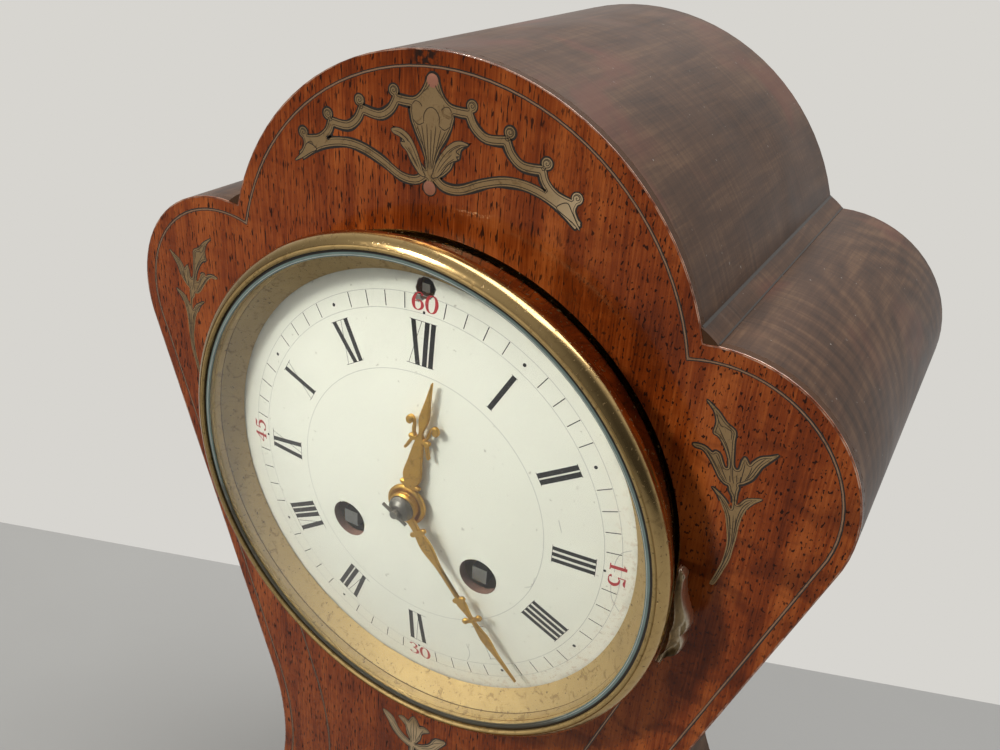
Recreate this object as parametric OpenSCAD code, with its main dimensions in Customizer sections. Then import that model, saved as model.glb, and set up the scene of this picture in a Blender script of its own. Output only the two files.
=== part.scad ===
// Balloon-shaped mantel clock: veneered case with brass inlay, hinged glazed bezel, convex enamel dial,
// spring-driven going and striking trains, pendulum, bell and hinged rear door.
// Millimetres. X to the viewer's right, Y from the front to the back, Z up. Feet stand on Z = 0.

/* [Case] */
// Depth of the case from its veneered front to its back board
case_depth = 83; // [80:0.5:90]
// Thickness of the veneered front leaf
facing_t = 1.8; // [1.4:0.1:2.4]
// Thickness of the front wall behind the leaf
front_t = 6; // [5:0.5:7]
// Thickness of the curved side walls
shell_t = 7; // [5:0.5:8]
// Thickness of the back board
back_t = 6; // [5:0.5:7]
// Radius of the round arch at the top
arch_r = 49.8; // [48:0.1:53]
// Height of the arch's centre above the dial's centre
arch_z = 31.8; // [29:0.1:34]
// Radius of each shoulder
lobe_r = 24.9; // [24:0.1:27]
// Distance of each shoulder's centre from the middle
lobe_x = 52; // [50:0.1:53]
// Height of the shoulders' centres above the dial's centre
lobe_z = 21.2; // [19:0.1:23]
// Half width at the narrowest part of the waist
waist_x = 44.6; // [42:0.1:48]
// Depth of the waist below the dial's centre
waist_drop = 98; // [96:0.5:102]
// Radius of the waist's inward sweep
waist_r = 70; // [66:0.5:76]
// Depth of the case's foot below the dial's centre
case_drop = 138; // [132:0.5:146]

/* [Plinth and feet] */
// Height of the moulded plinth
plinth_h = 14; // [11:0.5:18]
// Overhang of the plinth past the case
plinth_out = 7; // [5:0.5:9]
// Height of the plinth's top fillet
fillet_h = 3; // [2:0.25:4]
// Overhang of the top fillet
fillet_out = 2.5; // [1.5:0.25:3.5]
// Height of each bun foot
foot_h = 9; // [7:0.5:12]
// Radius of each bun foot
foot_r = 8.5; // [7:0.5:10]

/* [Inlay] */
// Depth of the brass let into the front
inlay_t = 0.8; // [0.5:0.1:1]
// Distance of the brass line from the case's edge
line_inset = 2.3; // [2.2:0.1:3.4]
// Width of the brass line
line_w = 0.75; // [0.5:0.05:0.9]
// Distance of the lower inner line from the case's edge
inner_inset = 15; // [13:0.5:17]
// Sideways shift of the cut brass ornaments
inlay_x = -3; // [-4:0.1:0]
// Width of the dark seam around the brass
seam_w = 0.2; // [0.1:0.05:0.3]

/* [Dial and bezel] */
// Radius of the enamel dial
dial_r = 46.6; // [45.5:0.1:47.6]
// Thickness of the enamel dial
dial_t = 1.8; // [1.4:0.1:2]
// How far the dial's middle stands in front of its edge
dial_sag = 3.4; // [3.2:0.05:3.6]
// How far the dial's middle stands in front of the case
dial_rise = 7.1; // [6.9:0.1:7.3]
// How far the middle of the bezel's round stands in front of the case
bezel_rise = 8.8; // [8.6:0.1:9.4]
// Radius of the bezel's round
crest_r = 2.8; // [2.6:0.1:3]
// Rise of the convex glass over its rim
glass_rise = 5.5; // [5:0.25:7]
// Thickness of the glass
glass_t = 1.6; // [1.2:0.1:1.8]
// Radius of the hinge knuckles
knuckle_r = 1.5; // [1.3:0.1:1.6]
// Radius of the hinge pins
pin_r = 0.7; // [0.5:0.05:0.8]
// Half length of each hinge's moving knuckle
knuckle_half = 4.5; // [3.5:0.25:6]

/* [Movement] */
// Radius of the round movement plates
plate_r = 36; // [35.6:0.1:37]
// Thickness of the movement plates
plate_t = 2; // [1.6:0.1:2.2]
// Room between the two plates
plate_gap = 26; // [25.9:0.1:28]
// Distance of each winding arbor from the middle
wind_x = 15.4; // [15.3:0.05:15.8]
// Depth of the winding arbors below the dial's centre
wind_drop = 11.6; // [11.4:0.05:11.8]
// Side of the winding squares
wind_square = 3.2; // [2.8:0.1:3.6]
// Radius of the fine pivots
pivot_r = 0.5; // [0.4:0.05:0.6]
// Radius of the wheel arbors
arbor_r = 0.8; // [0.7:0.05:0.85]
// Length from the pendulum's axis to the middle of its bob
pendulum_len = 126.5; // [118:0.5:132]
// Radius of the pendulum bob
bob_r = 15; // [12:0.5:17]
// Radius of the bell's mouth
bell_r = 24; // [23:0.25:24.3]
// Depth of the bell
bell_depth = 15; // [13:0.25:16]
// Minutes shown by the hands after twelve
shown_minutes = 23.5; // [0:0.5:59.5]

/* [Hidden] */
$fn = 72;
fit = 0.06;
gap = 0.3;
nip = 0.02;
brass = [0.72, 0.56, 0.27];
gilt = [0.80, 0.62, 0.30];
steel = [0.55, 0.56, 0.58];
red_wood = [0.50, 0.20, 0.08];
dark_wood = [0.24, 0.14, 0.09];
enamel = [0.93, 0.92, 0.88];

// Levels along Y, counted from the case's front
ring_t = 1.2;
plate_y = 4;
inner_y = plate_y + plate_t;
back_y = inner_y + plate_gap;
rear_y = back_y + plate_t;
cock_y = rear_y + 5;
cock_t = 3;
rod_y = cock_y + cock_t + 2.3;
bell_y = rod_y + 4.7;
flange_t = 1.6;
door_y = case_depth + flange_t + 0.4;
knob_y = door_y + 1.2;
knob_out = 8;
flange_y = facing_t - ring_t;
glass_y = -bezel_rise - 1.7;
front_reach = -glass_y + glass_rise;
rear_reach = max(knob_y + knob_out, case_depth + plinth_out);

// Where the dial's centre stands in the whole clock
face_y = (front_reach - rear_reach) / 2;
dial_h = case_drop + plinth_h + foot_h;

// Radii around the dial
ring_in = dial_r + gap;
ring_out = ring_in + 1;
hole_r = ring_out + 0.1;
recess_r = dial_r + 4.5;
ring_flange = recess_r - 0.1;
bezel_r = dial_r + 6.7;
sight_r = dial_r + 2.6;
skirt_in = dial_r + 2.8;
skirt_out = dial_r + 3.8;
glass_r = dial_r + 4.45;
bead_r = 0.45;
bead_in = dial_r + 4.05;
bead_out = bead_in + 2 * bead_r;
hinge_x = skirt_out + knuckle_r + gap;
hinge_y = -ring_t - gap - knuckle_r;
thumb_a = -7;

// The dial's dome, the glass's dome and the depth at which the glass rests on the bezel's ledge
dial_dome = (pow(dial_r, 2) + pow(dial_sag, 2)) / (2 * dial_sag);
glass_dome = (pow(bead_in, 2) + pow(glass_rise, 2)) / (2 * glass_rise);
ledge_y = glass_dome - front_reach - sqrt(pow(glass_dome - glass_t, 2) - pow(glass_r, 2)) + 0.01;

// Rear opening
rear_in = dial_r - 1.4;
rear_out = rear_in + 0.8;
rear_hole = rear_out + 0.1;
rear_flange = dial_r + 5.4;
door_r = dial_r + 3.8;
door_hinge_x = door_r + knuckle_r + 2;
door_hinge_y = door_y + knuckle_r;
strap_x = rear_out + 2.2;

// The case's outline: the straight side runs just inside the shoulder's and the waist's rounds
waist_c = [waist_x + waist_r, -waist_drop];
lobe_c = [lobe_x, lobe_z];
side_span = waist_c - lobe_c;
side_a = atan2(side_span[1], side_span[0]) + acos((lobe_r + waist_r) / norm(side_span));
foot_half = waist_c[0] - sqrt(pow(waist_r, 2) - pow(case_drop - waist_drop, 2));

// Gear trains: teeth and modules
barrel_n = 80;
barrel_m = 0.36;
second_n = 60;
second_m = 0.32;
centre_n = 80;
centre_m = 0.24;
third_n = 96;
third_m = 0.19;
leaves = 10;
fine_leaves = 8;
fly_leaves = 7;
strike_n = 72;
strike_m = 0.3;
pin_n = 64;
pin_m = 0.26;
lock_n = 56;
lock_m = 0.24;
warn_n = 48;
warn_m = 0.22;
cannon_n = 12;
minute_n = 36;
minute_m = 0.3;
hour_n = 40;
hour_m = minute_m * (cannon_n + minute_n) / (leaves + hour_n);
scape_n = 42;
scape_r = 7;

// Arbor places in the plane of the dial
going = [wind_x, -wind_drop];
striking = [-wind_x, -wind_drop];
second = meet(going, [0, 0], reach(barrel_n, leaves, barrel_m), reach(second_n, leaves, second_m));
third = reach(centre_n, fine_leaves, centre_m) * unit(100);
scape = [0, third[1] + sqrt(pow(reach(third_n, fine_leaves, third_m), 2) - pow(third[0], 2))];
anchor = scape + [0, 9.5];
strike2 = striking + reach(barrel_n, leaves, barrel_m) * unit(104.7);
pinwheel = strike2 + reach(strike_n, fine_leaves, strike_m) * unit(54.7);
locking = pinwheel + reach(pin_n, fine_leaves, pin_m) * unit(64.8);
warning = locking + reach(lock_n, fine_leaves, lock_m) * unit(164.2);
flier = warning + reach(warn_n, fly_leaves, warn_m) * unit(199.3);
minute_stud = reach(minute_n, cannon_n, minute_m) * unit(135);
hammer_at = [-28.5, 17];
regulator = [0, dial_r - 3.5];
bell_at = [0, -4];
bell_post = [-7, -11.5];
click_arm = 9.4;
pillars_at = [for (a = [2, 47, 160, 270]) (plate_r - 3.4) * unit(a)];
dial_feet_at = [for (a = [20, 160, 270]) (plate_r - 2.4) * unit(a)];

// Levels inside the movement, counted from the front plate's inner face
wheel_t = 1.2;
drum_y = inner_y + 3.5;
drum_end = inner_y + 20.2;
great_y = inner_y + 16;
rear_wheel_y = back_y - 5;
centre_wheel_y = inner_y + 1.2;
third_wheel_y = inner_y + 8;
pin_wheel_y = inner_y + 13;
lock_wheel_y = inner_y + 4;
warn_wheel_y = inner_y + 9;
drum_r = 13.2;
drum_wall = 1.2;

// Motion work levels in front of the front plate
pipe_end = dial_rise + 1.9;
cannon_end = pipe_end + 1;
nut_end = cannon_end + 1.8;
hour_hand_y = dial_rise + 1;
minute_hand_y = pipe_end + 0.3;

function unit(a) = [cos(a), sin(a)];
function reach(n, k, m) = (n + k) * m / 2;
function bearing(a, b) = atan2(b[1] - a[1], b[0] - a[0]);

// The point at distance p from a and q from b, on the left of the line from a to b turned back
function meet(a, b, p, q) = let (d = norm(b - a), e = (d * d + p * p - q * q) / (2 * d))
    a + e * unit(bearing(a, b)) - sqrt(p * p - e * e) * unit(bearing(a, b) + 90);

// A smooth curve through given points, with s steps between neighbours
function held(p, i) = p[max(0, min(len(p) - 1, i))];
function bend(a, b, c, d, t) = b + t * (c - a) / 2 + t * t * (a - 2.5 * b + 2 * c - d / 2)
    + t * t * t * (1.5 * (b - c) + (d - a) / 2);
function curve(p, s) = [for (i = [0 : len(p) - 2], j = [0 : s - (i < len(p) - 2 ? 1 : 0)])
    bend(held(p, i - 1), p[i], p[i + 1], held(p, i + 2), j / s)];
function ring_curve(p, s) = [for (i = [0 : len(p) - 1], j = [0 : s - 1])
    bend(p[(i + len(p) - 1) % len(p)], p[i], p[(i + 1) % len(p)], p[(i + 2) % len(p)], j / s)];
function normal_at(c, i) = let (d = held(c, i + 1) - held(c, i - 1)) [-d[1], d[0]] / norm(d);

// A strip along a curve, from width w0 to width w1
module ribbon(p, w0, w1, s = 4) {
    c = curve(p, s);
    n = len(c) - 1;
    left = [for (i = [0 : n]) c[i] + (w0 + (w1 - w0) * i / n) / 2 * normal_at(c, i)];
    right = [for (i = [n : -1 : 0]) c[i] - (w0 + (w1 - w0) * i / n) / 2 * normal_at(c, i)];
    polygon(concat(left, right));
}

module leaf(p) polygon(ring_curve(p, 3));

module both() {
    children();
    mirror([1, 0]) children();
}

// A flat shape from y0 to y1, a round rod along Y and a turned piece about Y
module slab(y0, y1) translate([0, y1, 0]) rotate([90, 0, 0]) linear_extrude(y1 - y0) children();
module rod(p, y0, y1, r) translate([p[0], y1, p[1]]) rotate([90, 0, 0]) cylinder(h = y1 - y0, r = r);
module turned(p) rotate([90, 0, 0]) rotate_extrude() polygon([for (q = p) [q[0], -q[1]]]);
module tube(p, y0, y1, r, bore) {
    difference() {
        rod(p, y0, y1, r);
        rod(p, y0 - 1, y1 + 1, bore);
    }
}
module square_bar(p, y0, y1, side) slab(y0, y1) translate(p) square(side, center = true);

module in_place() translate([0, face_y, dial_h]) children();

// The case's outline, drawn in by i
module outline(i = 0) {
    lobe_touch = lobe_c + (lobe_r - i - nip) * unit(side_a);
    waist_touch = waist_c - (waist_r + i + nip) * unit(side_a);
    low = i - case_drop;
    right = [[waist_c[0], low], [waist_c[0], waist_touch[1]], waist_touch, lobe_touch];
    left = [for (k = [3 : -1 : 0]) [-right[k][0], right[k][1]]];
    translate([0, arch_z]) circle(arch_r - i);
    for (s = [-1, 1]) translate([s * lobe_c[0], lobe_c[1]]) circle(lobe_r - i);
    difference() {
        polygon(concat(right, left));
        for (s = [-1, 1]) translate([s * waist_c[0], waist_c[1]]) circle(waist_r + i + 2 * nip);
    }
}

// Wheel and pinion outlines with one tooth along the given direction
function wheel_tooth(n, m) = [[n * m / 2 - 1.25 * m, -0.25], [n * m / 2 + 0.95 * m, -0.06],
    [n * m / 2 + 0.95 * m, 0.06], [n * m / 2 - 1.25 * m, 0.25]];
function pinion_leaf(n, m) = [[n * m / 2 - 1.3 * m, -0.155], [n * m / 2, -0.155], [n * m / 2 + 0.6 * m, -0.07],
    [n * m / 2 + 0.6 * m, 0.07], [n * m / 2, 0.155], [n * m / 2 - 1.3 * m, 0.155]];
function toothed(n, tooth, a) = [for (k = [0 : n - 1], t = tooth) t[0] * unit(a + (k + t[1]) * 360 / n)];

module wheel(at, n, m, y0, toward) {
    slab(y0, y0 + wheel_t) translate(at) difference() {
        polygon(toothed(n, wheel_tooth(n, m), toward));
        crossings(n * m / 2 - 2.4 * m - 0.5);
    }
}

// Four openings that leave a rim, a hub and crossed arms
module crossings(r) {
    hub = 2.4;
    if (r > hub + 2) difference() {
        circle(r);
        circle(hub);
        square([2 * r, 1.5], center = true);
        square([1.5, 2 * r], center = true);
    }
}

module pinion(at, n, m, y0, y1, toward)
    slab(y0, y1) translate(at) polygon(toothed(n, pinion_leaf(n, m), toward + 180 / n));

// An arbor between the plates with its two pivots; a fine pinion beside the wheel at y is cut free of it
module arbor(at, y = back_y) {
    front = inner_y + gap;
    rear = back_y - gap;
    rod(at, front, min(y - 0.4, rear), arbor_r);
    if (y < back_y) rod(at, y + wheel_t + 0.4, rear, arbor_r);
    rod(at, plate_y, front + 0.1, pivot_r);
    rod(at, rear - 0.1, rear_y, pivot_r);
}

module carcass() {
    color(dark_wood) difference() {
        slab(facing_t, case_depth) outline();
        slab(facing_t + front_t, case_depth + 1) outline(shell_t);
        rod([0, 0], 0, facing_t + front_t + 1, hole_r);
    }
}

module front_facing() {
    color(red_wood) difference() {
        slab(0, facing_t) outline();
        rod([0, 0], -1, facing_t + 1, recess_r);
        slab(-1, inlay_t) string_lines(seam_w);
        slab(-1, inlay_t) cut_brass(seam_w) crest();
        slab(-1, inlay_t) cut_brass(seam_w) sprays();
    }
}

module back_board() {
    color(dark_wood) difference() {
        slab(case_depth - back_t, case_depth) outline(shell_t);
        rod([0, 0], case_depth - back_t - 1, case_depth + 1, rear_hole);
        for (s = [-1, 1]) rod([s * strap_x, 0], case_depth - back_t - 1, case_depth + 1, 1.5);
    }
}

// One moulded profile of the plinth, from a to b at the case's own size
module plinth_section(a, b) {
    cove = plinth_out - fillet_out;
    translate([a - fillet_out, -fillet_h]) square([b - a + 2 * fillet_out, fillet_h]);
    difference() {
        translate([a - plinth_out, -plinth_h]) square([b - a + 2 * plinth_out, plinth_h - fillet_h]);
        translate([a - plinth_out, -fillet_h]) circle(cove);
        translate([b + plinth_out, -fillet_h]) circle(cove);
    }
}

module plinth() {
    far = foot_half + plinth_out + 1;
    color(dark_wood) translate([0, 0, -case_drop]) intersection() {
        slab(-plinth_out - 1, case_depth + plinth_out + 1) plinth_section(-foot_half, foot_half);
        translate([-far, 0, 0]) rotate([90, 0, 90]) linear_extrude(2 * far) plinth_section(0, case_depth);
    }
}

module foot() {
    bun = (foot_h - 2) / 2;
    rotate_extrude() {
        translate([foot_r - bun, bun]) circle(bun);
        square([foot_r - bun, foot_h - 2]);
        square([foot_r - bun - 0.5, foot_h]);
    }
}

module feet() {
    inset = plinth_out - foot_r - 1;
    color(brass) for (x = [-1, 1], y = [-inset, case_depth + inset])
        translate([x * (foot_half + inset), y, -case_drop - plinth_h - foot_h]) foot();
}

// Brass line around the front and its lower inner line, widened by grow
module string_lines(grow = 0) {
    difference() {
        outline(line_inset - grow);
        outline(line_inset + line_w + grow);
    }
    difference() {
        outline(inner_inset - grow);
        outline(inner_inset + line_w + grow);
        translate([-2 * arch_r, -0.55 * dial_r]) square(4 * arch_r);
        circle(recess_r + 0.5);
    }
}

// Sawn brass with its hairline crevices closed, widened by grow
module cut_brass(grow = 0) {
    crevice = 0.05;
    offset(delta = grow - crevice) offset(delta = crevice) children();
}

module stringing_inlay() {
    color(brass) slab(0, inlay_t) string_lines();
}

// Half of the scalloped crest, drawn about its own foot
module crest_half() {
    scallops = [[[0.4, 16.6], [1.6, 14.2], [3.6, 12.7], [7.2, 12.6]], [[7, 12.8], [8.2, 10.7], [10.6, 9.3],
        [14.3, 9.7]], [[14.1, 9.9], [15.2, 7.8], [17.4, 6.3], [21, 6.4]], [[20.8, 6.6], [21.6, 4.6],
        [23.6, 2.9], [26.4, 2.2]]];
    balls = [[7.6, 13.9], [14.7, 11.1], [21.6, 7.6], [27.3, 3.3]];
    for (s = scallops) ribbon(s, 1.4, 1.4);
    for (b = balls) translate(b) circle(0.95);
    ribbon([[0, 1.5], [1.1, 0.9], [2.9, -0.2], [6, -0.1], [10.1, 1.8], [14.5, 3.2], [19, 3.2], [23.8, 1.7],
        [27.9, -1]], 1.3, 1.5);
    ribbon([[27.2, 3.2], [26.6, 1.2], [28, -1.1]], 1.3, 0.9);
    leaf([[0.5, 1.4], [2.4, 3.4], [3.8, 5.2], [5.2, 7], [7.3, 7.8], [5.9, 6.6], [5.7, 5.2], [4.6, 4.4],
        [4, 3], [2, 1.2]]);
}

module crest() {
    translate([inlay_x, arch_z + arch_r - 21.55]) {
        both() crest_half();
        both() polygon([[-0.2, 16.8], [0.7, 16.2], [1.8, 14.1], [4, 12.6], [4.3, 11.3], [3.9, 9.6], [3, 7.8],
            [1.8, 5.8], [1, 3.8], [0.8, 1.2], [-0.2, 1]]);
        translate([0, 16.6]) circle(1.15);
        translate([0, -1]) circle(1.25);
        ribbon([[0, 1.6], [0, -0.6]], 1.2, 1.2);
    }
}

module crest_inlay() {
    color(brass) slab(0, inlay_t) cut_brass() crest();
}

// A leaning flower on its stem, drawn about the stem's fork
module flower() {
    ribbon([[-1.2, -12.5], [0.2, -5.2], [0.2, 0], [-0.4, 4], [-0.9, 8.4]], 0.7, 1.4);
    leaf([[-0.3, -0.5], [-2, 2.8], [-3.4, 5.4], [-1.9, 5], [-0.6, 3], [0.3, 0.6]]);
    leaf([[0.2, 0.8], [0.8, 3.6], [1.6, 5.6], [3.6, 6.3], [2.8, 4.6], [2.2, 2.6], [0.9, 0.6]]);
    leaf([[-0.6, 8], [-3.2, 9], [-5.2, 11], [-7.8, 13.4], [-5.4, 13.9], [-3.4, 12.8], [-1.2, 10]]);
    leaf([[-0.6, 8.2], [1.6, 9.4], [3.4, 11.8], [4.7, 16.2], [2.8, 14.6], [1.2, 14.6], [0.4, 13.2],
        [-0.4, 10.4]]);
    leaf([[-1.6, 9.4], [-2.2, 12.4], [-3.8, 15], [-5.2, 17.4], [-7, 21.8], [-4, 19.9], [-2, 18.2],
        [-1.6, 16], [-0.8, 13], [-0.4, 10]]);
}

// The upright flower on the waist
module waist_flower() {
    ribbon([[0, -15], [0.6, -8], [-0.4, -3], [0, 2]], 0.7, 1.4);
    both() leaf([[0.2, 0], [2.6, 1.2], [4.6, 3], [6.2, 5.8], [9, 6.4], [7.4, 3.6], [5.8, 1.2], [3.4, -0.8],
        [0.8, -1.4]]);
    both() leaf([[0.3, 0.6], [1.8, 2.6], [2.4, 5.2], [4.4, 6.8], [2.8, 7.6], [0.9, 6], [0.2, 3]]);
    leaf([[-0.8, 0.6], [-1.3, 4], [-1.7, 6.4], [0, 9.4], [1.7, 6.4], [1.3, 4], [0.8, 0.6]]);
}

module sprays() {
    translate([inlay_x, 0]) both() translate([lobe_x + 8.5, lobe_z - 6.1]) flower();
    translate([inlay_x, 19.5 - waist_drop]) waist_flower();
}

module spray_inlays() {
    color(brass) slab(0, inlay_t) cut_brass() sprays();
}

// Turned ring let into the front opening, with the ledge that carries the dial plate
module mount_ring() {
    ledge = dial_r - 1.2;
    end_y = facing_t + front_t + 0.2;
    color(brass) turned([[ledge, -0.5], [ring_in - 0.1, -0.5], [ring_in - 0.1, flange_y],
        [ring_flange, flange_y], [ring_flange, facing_t], [ring_out, facing_t], [ring_out, end_y],
        [ledge, end_y]]);
}

// Sloping gilt ring between the dial's edge and the glass
module sight_ring() {
    rim = dial_r - 1.4;
    top_r = dial_r + 2.2;
    wall = ring_in + 0.1;
    edge_y = -dial_rise + pow(rim, 2) / (2 * dial_dome) - 0.15;
    top_y = glass_y + 3.5;
    color(gilt) turned([[rim, edge_y], [top_r, top_y], [top_r, top_y + 0.6], [wall + 0.5, top_y + 2],
        [wall + 0.5, flange_y], [wall, flange_y], [wall, edge_y - 0.1]]);
}

module dial() {
    color(enamel) difference() {
        rotate([90, 0, 0]) rotate_extrude() intersection() {
            translate([0, dial_rise - dial_dome]) difference() {
                circle(dial_dome, $fn = 720);
                circle(dial_dome - dial_t, $fn = 720);
            }
            square([dial_r, dial_rise + 1]);
        }
        rod([0, 0], -dial_rise - 1, 0, 2.6);
        for (p = [going, striking]) rod(p, -dial_rise - 1, 0, 4);
        rod(regulator, -dial_rise - 1, 0, 1.9);
    }
}

// Backing plate with three riveted feet that reach the front plate
module dial_plate() {
    back = -0.5;
    front = -dial_rise + pow(dial_r, 2) / (2 * dial_dome) + dial_t + 0.05;
    color(brass) {
        difference() {
            rod([0, 0], front, back, dial_r + 0.1);
            rod([0, 0], front - 1, back + 1, plate_r - 5);
            rod(regulator, front - 1, back + 1, 1.9);
        }
        for (p = dial_feet_at) rod(p, back, plate_y, 1.5);
    }
}

// Section of the bezel's round
module bezel_round(grow = 0) {
    translate([bezel_r - crest_r, bezel_rise]) circle(crest_r + grow);
}

// Bezel's section: its round, its skirt, and the stepped seat for the glass and the bead
module bezel_section() {
    front = bezel_rise + crest_r + 1;
    difference() {
        union() {
            bezel_round();
            translate([skirt_in, 0.6]) square([skirt_out - skirt_in, bezel_rise - 0.6]);
        }
        square([sight_r, front]);
        square([skirt_in, bezel_rise - 1.6]);
        translate([0, -ledge_y]) square([glass_r + 0.1, front]);
        translate([0, -glass_y]) square([bead_out, front]);
    }
}

// Round-sectioned bezel with its skirt and hinge knuckle
module bezel() {
    color(brass) {
        rotate([90, 0, 0]) rotate_extrude() bezel_section();
        difference() {
            translate([-hinge_x, hinge_y, -knuckle_half]) {
                cylinder(h = 2 * knuckle_half, r = knuckle_r);
                translate([0, -1, 0]) cube([hinge_x - skirt_out + 0.6, 2, 2 * knuckle_half]);
            }
            translate([-hinge_x, hinge_y, -knuckle_half - 1]) cylinder(h = 2 * knuckle_half + 2, r = pin_r + fit);
            rod([0, 0], hinge_y - 3, hinge_y + 3, skirt_out - 0.2);
        }
    }
}

// Convex glass that rests on the bezel's ledge
module bezel_glass() {
    color([0.75, 0.82, 0.80, 0.3]) rotate([90, 0, 0]) rotate_extrude() intersection() {
        translate([0, front_reach - glass_dome]) difference() {
            circle(glass_dome, $fn = 720);
            circle(glass_dome - glass_t, $fn = 720);
        }
        square([glass_r, front_reach + 1]);
    }
}

// Beaded wire sprung into the bezel in front of the glass's rim
module glass_retainer() {
    low = glass_y;
    high = glass_y - 2 * bead_r - 0.1;
    color(gilt) turned([[bead_in + 0.3, high], [bead_out - 0.3, high], [bead_out, high + 0.3], [bead_out, low],
        [bead_in + bead_r, low], [bead_in, low - 0.35], [bead_in, high + 0.3]]);
}

// Cast leaf by which the bezel is pulled open
module thumb_piece() {
    edge = bezel_r + 0.1;
    out = edge + 4.6;
    color(brass) difference() {
        slab(-bezel_rise + 0.2, -bezel_rise + 5.2) rotate(thumb_a) leaf([[edge - 1.5, 12], [edge + 1.4, 9],
            [out - 1.6, 6], [out - 1, 3], [out, 0], [out - 0.6, -4], [out - 1.4, -8], [edge, -12],
            [edge - 2.5, -9], [edge - 3.1, 0], [edge - 3.1, 8]]);
        rod([0, 0], -bezel_rise - 1, 0, skirt_out + nip);
        rotate([90, 0, 0]) rotate_extrude() bezel_round(nip);
    }
}

// Fixed leaves: the bezel's on the front, the rear door's on the back board
module fixed_leaf(x, axis_y, face, out) {
    low = min(face, face + out * ring_t);
    tall = 2 * knuckle_half + 10;
    difference() {
        union() {
            translate([x - 2.7, low, -tall / 2]) cube([5.4, ring_t, tall]);
            for (s = [-1, 1]) translate([x, axis_y, s * (knuckle_half + gap + 2.2) - 2.2]) {
                cylinder(h = 4.4, r = knuckle_r);
                translate([-1, min(0, face - axis_y + out * 0.5), 0])
                    cube([2, abs(face - axis_y) - 0.5, 4.4]);
            }
        }
        translate([x, axis_y, -tall]) cylinder(h = 2 * tall, r = pin_r);
    }
}

module hinge_leaves() {
    color(brass) {
        difference() {
            fixed_leaf(-hinge_x, hinge_y, 0, -1);
            rod([0, 0], -ring_t - 1, 1, recess_r + 0.1);
        }
        difference() {
            fixed_leaf(door_hinge_x, door_hinge_y, case_depth, 1);
            rod([0, 0], case_depth - 1, case_depth + ring_t + 1, rear_flange + 0.1);
        }
    }
}

module hinge_pins() {
    half = knuckle_half + gap + 4.6;
    color(steel) {
        translate([-hinge_x, hinge_y, -half]) cylinder(h = 2 * half, r = pin_r);
        translate([door_hinge_x, door_hinge_y, -half]) cylinder(h = 2 * half, r = pin_r);
    }
}

module rear_ring() {
    color(brass) difference() {
        turned([[rear_in, case_depth - back_t], [rear_out, case_depth - back_t], [rear_out, case_depth],
            [rear_flange, case_depth], [rear_flange, case_depth + flange_t], [rear_in, case_depth + flange_t]]);
        for (s = [-1, 1]) {
            rod([s * strap_x, 0], case_depth - 1, case_depth + flange_t + 1, 1.5);
            rod([s * strap_x, 0], case_depth + 0.6, case_depth + flange_t + 1, 2.4);
        }
    }
}

// Turned brass door with a raised rim and a bead
module rear_door() {
    color(brass) {
        turned([[0, door_y], [door_r, door_y], [door_r, door_y + 1.6], [door_r - 0.8, door_y + 2.4],
            [door_r - 2.4, door_y + 2.4], [door_r - 3, door_y + 1.2], [door_r * 0.62, door_y + 1.2],
            [door_r * 0.61, door_y + 1.7], [door_r * 0.59, door_y + 1.7], [door_r * 0.58, door_y + 1.2],
            [0, door_y + 1.2]]);
        difference() {
            translate([door_hinge_x, door_hinge_y, -knuckle_half]) {
                cylinder(h = 2 * knuckle_half, r = knuckle_r);
                translate([door_r - door_hinge_x - 1, -knuckle_r, 0])
                    cube([door_hinge_x - door_r + 1, knuckle_r, 2 * knuckle_half]);
            }
            translate([door_hinge_x, door_hinge_y, -knuckle_half - 1])
                cylinder(h = 2 * knuckle_half + 2, r = pin_r + fit);
        }
    }
}

module door_knob() {
    color(brass) translate([-door_r * 0.8, 0, 0]) turned([[0, knob_y], [2.6, knob_y], [2.6, knob_y + 0.8],
        [1.3, knob_y + 1.6], [1.2, knob_y + 3], [2.6, knob_y + 4], [3.1, knob_y + 5.4], [2.6, knob_y + 6.9],
        [1.4, knob_y + 7.8], [0, knob_y + knob_out]]);
}

// Two bars that draw the front and rear rings together, with their screws
module straps() {
    color(brass) for (s = [-1, 1]) difference() {
        translate([s * strap_x - 1.9, facing_t + front_t + 0.2, -4])
            cube([3.8, case_depth - back_t - facing_t - front_t - 0.2, 8]);
        rod([s * strap_x, 0], case_depth - back_t - 14, case_depth, 1.2);
    }
}

module strap_screws() {
    color(steel) for (s = [-1, 1]) difference() {
        union() {
            rod([s * strap_x, 0], case_depth - back_t - 14, case_depth + 1, 1.2);
            rod([s * strap_x, 0], case_depth + 0.6, case_depth + flange_t, 2.3);
        }
        translate([s * strap_x - 3, case_depth + flange_t - 0.5, -0.35]) cube([6, 1, 0.7]);
    }
}

// Pivot places shared by both plates
pivots = [second, third, scape, strike2, pinwheel, locking, warning, flier];

module front_plate() {
    color(brass) {
        difference() {
            rod([0, 0], plate_y, inner_y, plate_r);
            rod([0, 0], plate_y - 1, inner_y + 1, arbor_r + fit);
            for (p = [going, striking]) rod(p, plate_y - 1, inner_y + 1, 1.9 + fit);
            for (p = concat(pivots, [anchor, hammer_at])) rod(p, plate_y - 1, inner_y + 1, pivot_r + fit);
        }
        rod(minute_stud, -1.4, plate_y, 0.7);
        for (s = [-1, 1]) rod(click_at(s), plate_y - 1.9, plate_y, 0.6);
    }
}

module back_plate() {
    color(brass) difference() {
        rod([0, 0], back_y, rear_y, plate_r);
        for (p = [going, striking]) rod(p, back_y - 1, rear_y + 1, 1.2 + fit);
        for (p = concat([[0, 0]], pivots)) if (p != strike2) rod(p, back_y - 1, rear_y + 1, pivot_r + fit);
        for (p = [strike2, hammer_at]) rod(p, back_y - 1, rear_y + 1, arbor_r + fit);
        rod(anchor, back_y - 1, rear_y + 1, 4.4);
    }
}

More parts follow.
